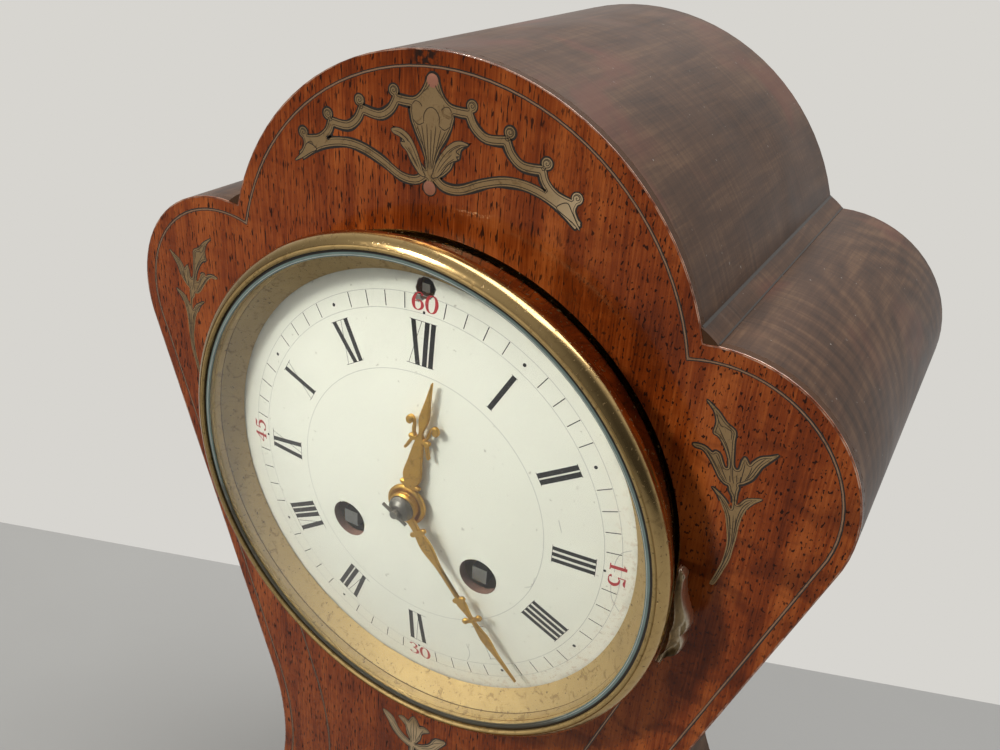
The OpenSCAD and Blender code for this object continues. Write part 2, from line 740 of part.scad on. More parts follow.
module pillars() {
    color(brass) for (p = pillars_at) {
        rod(p, inner_y, back_y, 1.8);
        rod(p, inner_y, inner_y + 1.4, 2.5);
        rod(p, back_y - 1.4, back_y, 2.5);
        rod(p, inner_y + plate_gap / 2 - 0.8, inner_y + plate_gap / 2 + 0.8, 2.3);
    }
}

// Half outline of a pierced hand: pairs of half width and distance from the centre
module blade(p) {
    c = curve(p, 4);
    polygon(concat(c, [for (i = [len(c) - 1 : -1 : 0]) [-c[i][0], c[i][1]]]));
}

module minute_hand() {
    color(gilt) slab(-minute_hand_y - 0.6, -minute_hand_y) rotate(-6 * shown_minutes) difference() {
        union() {
            circle(3);
            blade([[1.1, 2], [0.9, 5], [1.9, 8.5], [1.5, 12], [0.6, 14.6], [0.55, 18.4], [1.4, 20],
                [0.6, 21.4], [0.6, 23], [2, 25.4], [1.3, 27], [0.5, 28], [1.1, 30], [0.8, 33], [0.3, 37],
                [0.1, 40.4]]);
        }
        circle(1.35);
        blade([[0.05, 6], [0.9, 8.6], [0.6, 11.4], [0.05, 13]]);
    }
}

module hour_hand() {
    color(gilt) {
        slab(-hour_hand_y - 0.7, -hour_hand_y) rotate(-shown_minutes / 2) difference() {
            union() {
                circle(4.2);
                blade([[1.4, 3], [1.5, 5], [2.5, 7.2], [2, 9.6], [0.7, 11.6], [0.9, 13], [2.7, 14.8], [1.9, 16.2],
                    [0.7, 17], [0.8, 18], [3, 19.8], [2.2, 21.4], [0.8, 21.8], [1, 23.4], [0.6, 26],
                    [0.1, 28.8]]);
            }
            circle(2);
            blade([[0.05, 5.2], [1.3, 7.2], [1, 9], [0.05, 10.6]]);
        }
    }
}

module hand_nut() {
    color(steel) turned([[arbor_r + fit, -cannon_end], [2.6, -cannon_end], [2.6, -cannon_end - 0.4],
        [2.2, -cannon_end - 1.1], [1.5, -cannon_end - 1.6], [arbor_r + fit, -nut_end]]);
}

module hand_pin() {
    color(steel) translate([0, -nut_end - 0.45, 0]) rotate([0, 118, 0]) translate([0, 0, -3])
        cylinder(h = 6, r = 0.32);
}

// Motion work: cannon pinion, minute wheel with its pinion, hour wheel with its pipe
module cannon_pinion() {
    color(brass) difference() {
        union() {
            rod([0, 0], -cannon_end, plate_y - 0.6, 1.35);
            pinion([0, 0], cannon_n, minute_m, 1.3, 3, 135);
        }
        rod([0, 0], -cannon_end - 1, plate_y, arbor_r + fit);
    }
}

module minute_wheel() {
    color(brass) difference() {
        union() {
            slab(1.6, 2.6) translate(minute_stud) polygon(toothed(minute_n, wheel_tooth(minute_n, minute_m), -45));
            pinion(minute_stud, leaves, hour_m, -0.9, 1.7, -45);
        }
        rod(minute_stud, -2, 3, 0.7 + fit);
    }
}

module hour_wheel() {
    color(brass) difference() {
        union() {
            slab(-0.8, 0.2) polygon(toothed(hour_n, wheel_tooth(hour_n, hour_m), 135));
            rod([0, 0], -pipe_end, 0.2, 2);
        }
        rod([0, 0], -pipe_end - 1, 1, 1.35 + fit);
    }
}

// Spring barrel with its toothed flange
module barrel(at, toward) {
    difference() {
        union() {
            rod(at, drum_y, drum_end, drum_r);
            slab(great_y, great_y + 3) translate(at)
                polygon(toothed(barrel_n, wheel_tooth(barrel_n, barrel_m), toward));
        }
        rod(at, drum_y + 1.5, drum_end - 1.3, drum_r - drum_wall);
        rod(at, drum_y - 1, drum_end + 1, 2 + fit);
    }
}

// Coiled mainspring between the arbor and the drum's wall
module mainspring(at) {
    turns = 7;
    steps = 16;
    inner = 3.6;
    pitch = (drum_r - drum_wall - 0.4 - inner) / turns;
    thick = 0.45;
    path = [for (i = [0 : turns * steps]) [inner + pitch * i / steps, 360 * i / steps]];
    back_path = [for (i = [turns * steps : -1 : 0]) path[i]];
    slab(drum_y + 2, drum_end - 2) translate(at) polygon(concat([for (q = path) q[0] * unit(q[1])],
        [for (q = back_path) (q[0] - thick) * unit(q[1])]));
}

function ratchet_points(n, r) = [for (k = [0 : n - 1], t = [[1, 0], [0.82, 0.06]]) r * t[0] * unit((k + t[1]) * 360 / n)];

// Winding arbor: square, ratchet, core and pivots
module winding_arbor(at) {
    square_bar(at, -dial_rise + 1.2, plate_y - 1.8, wind_square);
    slab(plate_y - 1.8, plate_y - 0.3) translate(at) polygon(ratchet_points(20, 6.2));
    rod(at, plate_y - 0.3, inner_y + gap, 1.9);
    rod(at, inner_y + gap, back_y - gap, 2);
    rod(at, drum_y + 2, drum_end - 2, 2.9);
    rod(at, back_y - gap, rear_y, 1.2);
}

function click_at(s) = [s * wind_x, -wind_drop] + click_arm * [s * cos(58), -sin(58)];

// Click: a pawl that lies along the ratchet's rim
module click() {
    slab(plate_y - 1.8, plate_y - 0.3) translate(click_at(1)) difference() {
        union() {
            circle(1.6);
            rotate(70) polygon([[0.3, -1.4], [5, -0.9], [6.4, 0.1], [6.4, 0.9], [5, 0.9], [0.3, 1.4]]);
        }
        circle(0.6 + fit);
    }
}

module going_barrel() {
    color(brass) barrel(going, bearing(going, second));
}

module going_mainspring() {
    color(steel) mainspring(going);
}

module going_arbor() {
    color(steel) winding_arbor(going);
}

module going_click() {
    color(steel) click();
}

module strike_barrel() {
    color(brass) barrel(striking, bearing(striking, strike2));
}

module strike_mainspring() {
    color(steel) mainspring(striking);
}

module strike_arbor() {
    color(steel) winding_arbor(striking);
}

module strike_click() {
    color(steel) mirror([1, 0, 0]) click();
}

module second_wheel() {
    color(brass) {
        arbor(second);
        pinion(second, leaves, barrel_m, great_y - 0.4, great_y + 3.4, bearing(second, going));
        wheel(second, second_n, second_m, rear_wheel_y, bearing(second, [0, 0]));
    }
}

// The centre arbor carries the hands through its long front end
module centre_wheel() {
    color(brass) {
        difference() {
            rod([0, 0], -nut_end - 0.9, back_y - gap, arbor_r);
            hand_pin();
        }
        rod([0, 0], back_y - gap, rear_y, pivot_r);
        pinion([0, 0], leaves, second_m, rear_wheel_y - 0.6, rear_wheel_y + 2, bearing([0, 0], second));
        wheel([0, 0], centre_n, centre_m, centre_wheel_y, bearing([0, 0], third));
    }
}

module third_wheel() {
    color(brass) {
        arbor(third, centre_wheel_y);
        pinion(third, fine_leaves, centre_m, centre_wheel_y - 0.5, centre_wheel_y + 1.9, bearing(third, [0, 0]));
        wheel(third, third_n, third_m, third_wheel_y, bearing(third, scape));
    }
}

module escape_wheel() {
    color(brass) {
        arbor(scape, third_wheel_y);
        pinion(scape, fine_leaves, third_m, third_wheel_y - 0.6, third_wheel_y + 1.9, bearing(scape, third));
        slab(rear_wheel_y, rear_wheel_y + 1) translate(scape) difference() {
            polygon([for (k = [0 : scape_n - 1], t = [[scape_r, 0], [scape_r - 1.1, 0.25], [scape_r - 1.1, 0.75]])
                t[0] * unit((k + t[1]) * 360 / scape_n)]);
            crossings(scape_r - 1.9);
        }
    }
}

module strike_second_wheel() {
    color(brass) {
        arbor(strike2);
        rod(strike2, back_y - 1, rear_y + 3.4, arbor_r);
        pinion(strike2, leaves, barrel_m, great_y - 0.4, great_y + 3.4, bearing(strike2, striking));
        wheel(strike2, strike_n, strike_m, rear_wheel_y, bearing(strike2, pinwheel));
    }
}

// Notched wheel that counts the blows, on the rear end of the second arbor
module count_wheel() {
    count_r = 12;
    stops = [for (h = [1 : 12]) (h * (h + 1) / 2 + h - 1) * 4];
    color(brass) slab(rear_y + 1, rear_y + 2.2) translate(strike2) difference() {
        circle(count_r);
        circle(arbor_r);
        crossings(count_r - 2.6);
        for (a = stops) rotate(a) translate([count_r - 0.8, -0.4]) square([2, 0.8]);
    }
}

module pin_wheel() {
    pins = 10;
    color(brass) {
        arbor(pinwheel);
        pinion(pinwheel, fine_leaves, strike_m, rear_wheel_y - 0.6, rear_wheel_y + 2, bearing(pinwheel, strike2));
        wheel(pinwheel, pin_n, pin_m, pin_wheel_y, bearing(pinwheel, locking));
        for (k = [0 : pins - 1])
            rod(pinwheel + (pin_n * pin_m / 2 - 0.9) * unit(k * 360 / pins + 18), pin_wheel_y, pin_wheel_y + 3.4, 0.4);
    }
}

module locking_wheel() {
    color(brass) {
        arbor(locking, pin_wheel_y);
        pinion(locking, fine_leaves, pin_m, pin_wheel_y - 0.6, pin_wheel_y + 1.9, bearing(locking, pinwheel));
        wheel(locking, lock_n, lock_m, lock_wheel_y, bearing(locking, warning));
        rod(locking + [0, lock_n * lock_m / 2 - 1], lock_wheel_y - 2, lock_wheel_y + 0.5, 0.4);
    }
}

module warning_wheel() {
    color(brass) {
        arbor(warning, lock_wheel_y);
        pinion(warning, fine_leaves, lock_m, lock_wheel_y - 0.6, lock_wheel_y + 1.9, bearing(warning, locking));
        wheel(warning, warn_n, warn_m, warn_wheel_y, bearing(warning, flier));
    }
}

// Air brake: two vanes on the fastest arbor
module fly() {
    vane = 4.2;
    color(brass) {
        arbor(flier, warn_wheel_y);
        pinion(flier, fly_leaves, warn_m, warn_wheel_y - 0.6, warn_wheel_y + 1.9, bearing(flier, warning));
        slab(pin_wheel_y + 2, back_y - 2) translate(flier) rotate(40) square([2 * vane, 0.5], center = true);
        rod(flier, pin_wheel_y + 2, back_y - 2, 1.2);
    }
}

// Hammer on its long arbor, with the lifting tail between the plates
module hammer() {
    head = [-bell_r - 3.4, bell_at[1] - 1];
    tail = pinwheel + (pin_n * pin_m / 2 + 0.9) * unit(bearing(pinwheel, hammer_at));
    arm_y = bell_y + 1.2;
    color(steel) {
        rod(hammer_at, plate_y, inner_y + gap, pivot_r);
        rod(hammer_at, inner_y + gap, arm_y + 2, arbor_r);
        slab(pin_wheel_y - 2, pin_wheel_y - 0.6) {
            ribbon([hammer_at, tail], 1.8, 1);
            translate(hammer_at) circle(1.6);
        }
        slab(arm_y, arm_y + 1.6) {
            ribbon([hammer_at, head], 2.2, 1.6);
            translate(hammer_at) circle(2);
        }
        rod(head, arm_y - 1, arm_y + 4, 2.6);
    }
}

bell_ball = (pow(bell_r, 2) + pow(bell_depth, 2)) / (2 * bell_depth);
bell_wall = 1.4;
bell_top = bell_y + bell_depth;

module bell() {
    color(brass) translate([bell_at[0], bell_top - bell_ball, bell_at[1]]) difference() {
        rotate([-90, 0, 0]) rotate_extrude() intersection() {
            difference() {
                circle(bell_ball, $fn = 360);
                circle(bell_ball - bell_wall, $fn = 360);
            }
            translate([0, bell_ball - bell_depth]) square([bell_r + 1, bell_depth + 1]);
        }
        rod([0, 0], 0, bell_ball + 1, 1.6);
    }
}

// Post, arm and stud that carry the bell from the back plate
module bell_stand() {
    arm_y = bell_top - 8.6;
    seat = bell_top - bell_wall - 0.15;
    color(steel) {
        rod(bell_post, rear_y, arm_y + 3, 1.8);
        slab(arm_y, arm_y + 3) {
            ribbon([bell_post, bell_at], 3.6, 3.6);
            translate(bell_post) circle(1.8);
            translate(bell_at) circle(2.2);
        }
        rod(bell_at, arm_y, seat, 2.2);
        rod(bell_at, arm_y, bell_top + 2.4, 1.5);
        rod(bell_at, bell_top + 0.02, bell_top + 1.8, 3);
    }
}

// Anchor pallets, their arbor and the crutch that meets the pendulum
module pallets() {
    nib = scape_r + 0.8;
    foot_z = scape[1] - 13;
    fork_in = 1.4;
    crutch_y = rear_y + 1.5;
    color(steel) {
        rod(anchor, plate_y, inner_y + gap, pivot_r);
        rod(anchor, inner_y + gap, cock_y - gap, 0.7);
        rod(anchor, cock_y - gap, cock_y + cock_t - 0.5, pivot_r);
        slab(rear_wheel_y - 0.4, rear_wheel_y + 1.4) difference() {
            translate(anchor) polygon([[-6.8, -3.2], [-6.3, -1.4], [-2.2, 1.6], [2.2, 1.6], [6.3, -1.4],
                [6.8, -3.2], [5.4, -4.6], [4.6, -2.6], [1.8, -1.4], [-1.8, -1.4], [-4.6, -2.6], [-5.4, -4.6]]);
            translate(scape) circle(nib);
        }
        slab(crutch_y, crutch_y + 1.2) {
            translate([-1, foot_z]) square([2, anchor[1] - foot_z]);
            translate(anchor) circle(1.8);
            translate([-fork_in - 1, foot_z - 1.5]) square([2 * fork_in + 2, 3]);
        }
        for (s = [-1, 1]) translate([s * (fork_in + 0.5) - 0.5, crutch_y, foot_z - 1.5])
            cube([1, rod_y + 2.4 - crutch_y, 3]);
    }
}

// Bridge behind the back plate: rear pivot of the pallets and seat of the suspension
module back_cock() {
    top = regulator[1] + 4.5;
    block_z = anchor[1] + 4.5;
    color(brass) difference() {
        union() {
            slab(cock_y, cock_y + cock_t) {
                translate([-12, anchor[1] - 4.4]) square([24, 7.4]);
                translate([-5, anchor[1]]) square([10, top - anchor[1]]);
            }
            for (s = [-1, 1]) translate([s * 9.4 - 2.6, rear_y, anchor[1] - 4.4]) cube([5.2, 5, 4.8]);
            translate([-4, cock_y + cock_t, block_z]) cube([8, 4.5, top - block_z]);
        }
        suspension_spring();
        rod(anchor, cock_y - 1, cock_y + cock_t + 1, pivot_r + fit);
        rod(regulator, cock_y - 1, cock_y + 2, 1.2 + fit);
    }
}

// Flat spring held in the cock's slotted block
module suspension_spring() {
    color(steel) translate([-0.1, rod_y - 1.7, anchor[1] - 5.5]) cube([0.2, 3.4, 15]);
}

module regulator_arbor() {
    color(steel) {
        square_bar(regulator, -4, 0, 1.6);
        rod(regulator, 0, cock_y + 1.8, 1.2);
    }
}

module pendulum_rod() {
    clamp_z = anchor[1] - 8;
    bob_z = anchor[1] - pendulum_len;
    color(brass) {
        difference() {
            translate([-1.7, rod_y - 1.9, clamp_z - 1]) cube([3.4, 3.8, 4.6]);
            translate([-0.15, rod_y - 1.75, clamp_z + 2.4]) cube([0.3, 3.5, 3]);
        }
        translate([0, rod_y, bob_z - bob_r - 4]) cylinder(h = clamp_z - bob_z + bob_r + 4, r = 1.2);
        translate([0, rod_y, bob_z - bob_r - 3.4]) cylinder(h = 2.6, r = 3);
    }
}

// Stepped brass bob on the rod
module pendulum_bob() {
    bob_z = anchor[1] - pendulum_len;
    steps = [[0, 1.8], [1.4, 3], [4, 3.8]];
    color(brass) difference() {
        for (q = steps) rod([0, bob_z], rod_y - q[1], rod_y + q[1], bob_r - q[0]);
        translate([0, rod_y, bob_z - bob_r - 1]) cylinder(h = 2 * bob_r + 2, r = 1.2);
    }
}

in_place() carcass();
in_place() front_facing();
in_place() back_board();
in_place() plinth();
in_place() feet();
in_place() stringing_inlay();
in_place() crest_inlay();
in_place() spray_inlays();
in_place() mount_ring();
in_place() sight_ring();
in_place() dial();
in_place() dial_plate();
in_place() bezel();
in_place() bezel_glass();
in_place() glass_retainer();
in_place() thumb_piece();
in_place() hinge_leaves();
in_place() hinge_pins();
in_place() rear_ring();
in_place() rear_door();
in_place() door_knob();
in_place() straps();
in_place() strap_screws();
in_place() front_plate();
in_place() back_plate();
in_place() pillars();
in_place() minute_hand();
in_place() hour_hand();
in_place() hand_nut();
in_place() hand_pin();
in_place() cannon_pinion();
in_place() minute_wheel();
in_place() hour_wheel();
in_place() going_barrel();
in_place() going_mainspring();
in_place() going_arbor();
in_place() going_click();
in_place() second_wheel();
in_place() centre_wheel();
in_place() third_wheel();
in_place() escape_wheel();
in_place() strike_barrel();
in_place() strike_mainspring();
in_place() strike_arbor();
in_place() strike_click();
in_place() strike_second_wheel();
in_place() count_wheel();
in_place() pin_wheel();
in_place() locking_wheel();
in_place() warning_wheel();
in_place() fly();
in_place() hammer();
in_place() bell();
in_place() bell_stand();
in_place() pallets();
in_place() back_cock();
in_place() suspension_spring();
in_place() regulator_arbor();
in_place() pendulum_rod();
in_place() pendulum_bob();
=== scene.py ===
import math
import random
import bpy
from mathutils import Matrix, Vector
from mathutils.geometry import convex_hull_2d, tessellate_polygon
from mathutils.kdtree import KDTree


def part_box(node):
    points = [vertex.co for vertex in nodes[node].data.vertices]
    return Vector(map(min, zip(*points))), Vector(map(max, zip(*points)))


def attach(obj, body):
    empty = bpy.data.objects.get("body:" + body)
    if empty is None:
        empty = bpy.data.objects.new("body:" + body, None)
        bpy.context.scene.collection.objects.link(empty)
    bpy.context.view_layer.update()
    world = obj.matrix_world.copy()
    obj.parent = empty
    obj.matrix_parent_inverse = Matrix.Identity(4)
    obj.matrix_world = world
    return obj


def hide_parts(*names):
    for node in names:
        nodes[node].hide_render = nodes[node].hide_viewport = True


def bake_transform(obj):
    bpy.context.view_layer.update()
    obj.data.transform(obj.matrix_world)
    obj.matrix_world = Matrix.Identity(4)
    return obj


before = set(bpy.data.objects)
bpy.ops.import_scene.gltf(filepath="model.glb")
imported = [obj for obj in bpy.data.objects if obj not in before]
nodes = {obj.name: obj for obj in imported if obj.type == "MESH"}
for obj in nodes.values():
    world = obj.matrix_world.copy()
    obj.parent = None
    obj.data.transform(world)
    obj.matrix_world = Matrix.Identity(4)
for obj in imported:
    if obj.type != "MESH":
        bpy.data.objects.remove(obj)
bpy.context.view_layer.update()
mm = 0.001
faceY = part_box("front_facing")[0].y  # the veneer's front
dialLow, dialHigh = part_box("dial")
dialX = (dialLow.x + dialHigh.x) / 2
dialZ = (dialLow.z + dialHigh.z) / 2
print("frame loaded,", len(nodes), "solids")


def spot(x, y, z):  # millimetres from the dial's centre on the veneer, y towards the back
    return Vector((dialX + x * mm, faceY + y * mm, dialZ + z * mm))


# Camera at the photograph's place
view = {"frame": (1000, 750), "sensor": 36, "lens": 33.468, "turn": (2.00312469, 0.59019872, -0.25842784),
    "at": (81.7717, -126.1328, 108.3105)}


def setCamera():
    turn = Vector(view["turn"])
    rows = Matrix.Rotation(turn.length, 3, turn.normalized())
    pose = Matrix((rows[0], -rows[1], -rows[2])).transposed().to_4x4()
    pose.translation = spot(*view["at"])
    data = bpy.data.cameras.new("camera")
    data.lens = view["lens"]
    data.sensor_width = view["sensor"]
    data.sensor_fit = "HORIZONTAL"
    data.clip_start = 0.01
    camera = bpy.data.objects.new("camera", data)
    camera.matrix_world = pose
    bpy.context.scene.collection.objects.link(camera)
    bpy.context.scene.camera = camera
    return pose


cameraPose = setCamera()
print("camera set")


class Shade:  # a node's output that can be used in plain arithmetic
    def __init__(self, tree, socket=None):
        self.tree = tree
        self.socket = socket

    def add(self, kind, settings=None, sockets=None, out=0):
        node = self.tree.nodes.new("ShaderNode" + kind)
        for key, value in (settings or {}).items():
            if key == "stops":
                while len(node.color_ramp.elements) < len(value):
                    node.color_ramp.elements.new(1)
                for element, (position, colour) in zip(node.color_ramp.elements, value):
                    element.position = position
                    element.color = colour
            else:
                setattr(node, key, value)
        for key, value in (sockets or {}).items():
            if isinstance(value, Shade):
                self.tree.links.new(value.socket, node.inputs[key])
            else:
                node.inputs[key].default_value = value
        return Shade(self.tree, node.outputs[out] if len(node.outputs) else None)

    def maths(self, operation, a, b=0.0):
        return self.add("Math", {"operation": operation}, {0: a, 1: b})

    __add__ = lambda self, other: self.maths("ADD", self, other)
    __radd__ = lambda self, other: self.maths("ADD", other, self)
    __sub__ = lambda self, other: self.maths("SUBTRACT", self, other)
    __rsub__ = lambda self, other: self.maths("SUBTRACT", other, self)
    __mul__ = lambda self, other: self.maths("MULTIPLY", self, other)
    __rmul__ = lambda self, other: self.maths("MULTIPLY", other, self)
    __pow__ = lambda self, other: self.maths("POWER", self, other)
    __abs__ = lambda self: self.maths("ABSOLUTE", self)


def newFinish(name):
    material = bpy.data.materials.new(name)
    material.use_nodes = True
    material.node_tree.nodes.clear()
    shade = Shade(material.node_tree)
    shade.material = material
    return shade


def close(shade, surface):  # the output, with its shader or the shader's sockets
    if isinstance(surface, dict):
        surface = shade.add("BsdfPrincipled", {}, surface)
    shade.add("OutputMaterial", {}, {"Surface": surface})
    return shade.material


def split(coords):
    sockets = coords.add("SeparateXYZ", {}, {"Vector": coords}).socket.node.outputs
    return [Shade(coords.tree, socket) for socket in sockets]


def place(shade):  # x, y, z in millimetres from the dial's centre
    coords = shade.add("Mapping", {}, {"Vector": shade.add("TexCoord", out=3),
        "Location": (-dialX / mm, -faceY / mm, -dialZ / mm), "Scale": (1 / mm, 1 / mm, 1 / mm)})
    return coords, *split(coords)


def noise(coords, scale, detail=3.0, distortion=0.0, rough=0.5):
    if not isinstance(scale, tuple):
        scale = (scale, scale, scale)
    spread = coords.add("Mapping", {}, {"Vector": coords, "Scale": scale})
    return coords.add("TexNoise", {}, {"Vector": spread, "Scale": 1.0, "Detail": detail, "Roughness": rough,
        "Distortion": distortion})


def step(value, low, high):
    return value.add("MapRange", {"interpolation_type": "SMOOTHSTEP"}, {"Value": value, "From Min": low,
        "From Max": high})


def mix(factor, a, b):
    return factor.add("Mix", {"data_type": "RGBA"}, {0: factor, 6: a, 7: b}, out=2)


def ramp(value, *stops):
    return value.add("ValToRGB", {"stops": stops}, {"Fac": value})


def bump(height, strength, distance):
    return height.add("Bump", {}, {"Strength": strength, "Distance": distance * mm, "Height": height})


def away(a, b):  # length of a flat step
    return (a * a + b * b) ** 0.5


def wayRound(x, z):  # angle about the dial's axis
    return x.maths("ARCTAN2", x, z)


veneerLook = {"light": (0.405, 0.099, 0.018, 1), "mid": (0.220, 0.039, 0.005, 1), "dark": (0.085, 0.013, 0.002, 1),
    "pore": (0.014, 0.004, 0.002, 1), "paintedHollowShade": (0.012, 0.007, 0.004, 1), "filler": (0.012, 0.010, 0.008, 1),
    "gloss": 0.18, "endGrain": (28, 48), "chipAt": -4.5, "chipTop": (77.5, 79.2), "opening": (58, 56)}
sideLook = {"light": (0.128, 0.067, 0.032, 1), "mid": (0.064, 0.029, 0.013, 1), "dark": (0.030, 0.0125, 0.005, 1),
    "red": (0.105, 0.030, 0.017, 1), "rub": (0.17, 0.125, 0.092, 1), "dust": (0.45, 0.42, 0.38, 1)}


def makeVeneer():
    shade = newFinish("polishedVeneer")
    coords, x, y, z = place(shade)
    bands = noise(coords, (0.16, 0.16, 0.010), 4, 0.6)
    fibre = noise(coords, (2.6, 2.6, 0.09), 3, 0.3)
    cloud = noise(coords, (0.035, 0.035, 0.03), 2, 1.2)
    ripple = noise(coords, (0.05, 0.05, 0.22), 2, 1.5)
    ended = step(x + cloud * 30, *veneerLook["endGrain"])  # towards end grain at the right
    tone = bands * 0.42 + fibre * 0.30 + cloud * 0.20 + ripple * 0.10 + ended * 0.022
    colour = ramp(tone, (0.38, veneerLook["dark"]), (0.50, veneerLook["mid"]), (0.63, veneerLook["light"]))
    dashes = step(noise(coords, (2.5, 2.5, 0.40), 1.5, 0.2), 0.585, 0.64)
    dots = step(noise(coords, (2.2, 2.2, 0.95), 1.2, 0.2), 0.60, 0.65)
    mottle = step(noise(coords, (0.06, 0.06, 0.11), 2, 1.6), 0.52, 0.70)
    colour = mix(mottle * ended * 0.55, colour, veneerLook["dark"])
    pores = dashes * (1 - ended) + dots * ended * (0.62 + 0.38 * step(z, -20, 20))
    colour = mix(pores * 0.92, colour, veneerLook["pore"])
    # chip in the top edge, filled dark
    chip = step(abs(x - veneerLook["chipAt"]), 3.4, 1.2) * step(z, *veneerLook["chipTop"])
    chip = chip * step(noise(coords, 0.9, 2), 0.42, 0.56)
    colour = mix(chip * 0.9, colour, veneerLook["filler"])
    behind = step(y, 0.02, 0.08)
    colour = mix(behind, colour, sideLook["mid"])
    # painted shade: inside the dial opening the cut walls are painted near black as the dark recess
    inside = behind * step(away(x, z), *veneerLook["opening"])
    colour = mix(inside, colour, veneerLook["paintedHollowShade"])
    smear = noise(coords, (0.08, 0.08, 0.05), 4, 0.8)
    return close(shade, {"Base Color": colour, "Roughness": veneerLook["gloss"] + smear * 0.16 + pores * 0.2,
        "Coat Weight": 0.18 - behind * 0.18 - pores * 0.12, "Coat Roughness": 0.09, "Coat IOR": 1.5,
        "Specular IOR Level": 0.12, "Normal": bump(0.4 * smear + 0.12 * fibre - 0.5 * pores, 0.35, 0.06)})


def makeSideWood(name, grain, lined=0.24, reddish=0.55):  # grain runs along axis 0, 1 or 2, lines across it
    shade = newFinish(name)
    coords, x, y, z = place(shade)
    if grain != 1:
        turned = [y, x, z] if grain == 0 else [x, z, y]
        coords = shade.add("CombineXYZ", {}, dict(zip("XYZ", turned)))
    streak = noise(coords, (0.30, 0.030, 0.30), 5, 0.8)
    fine = noise(coords, (2.6, 0.10, 2.6), 3, 0.4)
    across = noise(coords, (0.05, 1.3, 0.05), 4, 0.15)
    cloud = noise(coords, (0.04, 0.03, 0.04), 3, 1.0)
    heart = shade.add("Mapping", {}, {"Vector": coords, "Location": (-3.0, -3.2, -0.5),
        "Scale": (0.045, 0.060, 0.05)})
    growth = shade.add("TexWave", {"wave_type": "RINGS", "rings_direction": "SPHERICAL"}, {"Vector": heart,
        "Scale": 1.5, "Distortion": 6.0, "Detail": 3.0, "Detail Scale": 0.7}, out=1)
    figured = step(abs(x), 50, 60) * 0.10  # growth rings on the shoulders only
    tone = streak * (0.58 - lined) + fine * 0.18 + across * lined + cloud * 0.24 + (growth - 0.5) * figured
    colour = ramp(tone, (0.36, sideLook["dark"]), (0.50, sideLook["mid"]), (0.66, sideLook["light"]))
    colour = mix(step(cloud, 0.52, 0.68) * reddish, colour, sideLook["red"])
    rub = noise(coords, 0.05, 4, 0.6)
    scratch = step(noise(coords, (0.12, 4.2, 0.12), 3), 0.60, 0.70) * step(rub, 0.42, 0.62)
    colour = mix(scratch * (1.25 * lined), colour, sideLook["rub"])
    dust = step(noise(coords, 1.3, 1.5), 0.76, 0.79)
    colour = mix(dust * 0.5, colour, sideLook["dust"])
    height = 0.4 * fine + (1.46 * lined) * across + 0.3 * cloud - 0.3 * scratch
    return close(shade, {"Base Color": colour, "Roughness": 0.26 + rub * 0.22 + scratch * 0.15,
        "Specular IOR Level": 0.22, "Normal": bump(height, 0.3, 0.05)})


# Metals: bright and dull colour, roughness and stain
metalLook = {
    "bezel": ((0.66, 0.46, 0.20, 1), (0.26, 0.15, 0.058, 1), 0.07, 0.6),
    "gilt": ((0.56, 0.41, 0.185, 1), (0.28, 0.18, 0.068, 1), 0.54, 0.85),
    "hand": ((0.68, 0.39, 0.080, 1), (0.32, 0.165, 0.026, 1), 0.28, 0.7),
    "inlay": ((0.53, 0.36, 0.185, 1), (0.16, 0.092, 0.040, 1), 0.30, 0.85),
    "string": ((0.54, 0.33, 0.21, 1), (0.21, 0.105, 0.060, 1), 0.34, 0.7),
    "train": ((0.78, 0.58, 0.27, 1), (0.48, 0.33, 0.14, 1), 0.26, 0.4),
    "bell": ((0.72, 0.62, 0.46, 1), (0.45, 0.36, 0.24, 1), 0.20, 0.35),
    "copper": ((0.55, 0.25, 0.17, 1), (0.30, 0.12, 0.08, 1), 0.42, 0.5),
    "cast": ((0.66, 0.58, 0.45, 1), (0.24, 0.16, 0.09, 1), 0.24, 0.45),
    "nut": ((0.24, 0.225, 0.20, 1), (0.10, 0.085, 0.07, 1), 0.28, 0.6),
    "steel": ((0.30, 0.30, 0.29, 1), (0.13, 0.12, 0.105, 1), 0.26, 0.5),
}
# pale brass painted on the inlay as a highlight
paintedHighlightBrass = (0.92, 0.72, 0.46, 1)
fleckColour = (0.07, 0.04, 0.02, 1)


def makeMetal(name, kind, turned=False, speckle=0.0, arbor=0.0):
    bright, dull, rough, stain = metalLook[kind]
    shade = newFinish(name)
    coords, x, y, z = place(shade)
    cloud = noise(coords, 0.16, 4, 0.8, 0.6)
    blotch = step(noise(coords, 0.55, 4, 1.0, 0.65), 0.52, 0.70)
    if turned:  # tool marks run round the dial's axis
        marks = shade.add("CombineXYZ", {}, {"X": away(x, z) * 6.0, "Y": y * 6.0,
            "Z": wayRound(x, z) * 1.6})
    else:
        marks = shade.add("Mapping", {}, {"Vector": coords, "Scale": (0.5, 6.0, 7.0)})
    brushed = shade.add("TexNoise", {}, {"Vector": marks, "Scale": 1.0, "Detail": 3.0, "Roughness": 0.6})
    worn = blotch * stain * 0.6 + cloud * stain * 0.5
    colour = mix(worn, bright, dull)
    if kind == "inlay":  # painted highlight: brighter at the crest's right end and at the waist
        crest = step(x + cloud * 6, 18, 28) * step(z, 48, 54) * 0.7
        colour = mix(crest + step(z, -70, -74) * 0.6, colour, paintedHighlightBrass)
    if arbor:  # steel arbor through a brass wheel on the dial's axis
        colour = mix(step(away(x, z), arbor + 0.1, arbor), colour, metalLook["nut"][0])
    fleck = step(noise(coords, 1.5, 2, 0.4), 0.66, 0.71)
    colour = mix(fleck * (0.35 + speckle), colour, fleckColour)
    return close(shade, {"Base Color": colour, "Metallic": 1 - fleck * 0.5,
        "Roughness": rough + worn * 0.22 + brushed * 0.10 + fleck * 0.25,
        "Normal": bump(brushed * 0.5 + cloud * 0.6 - fleck * 0.6, 0.25, 0.05)})


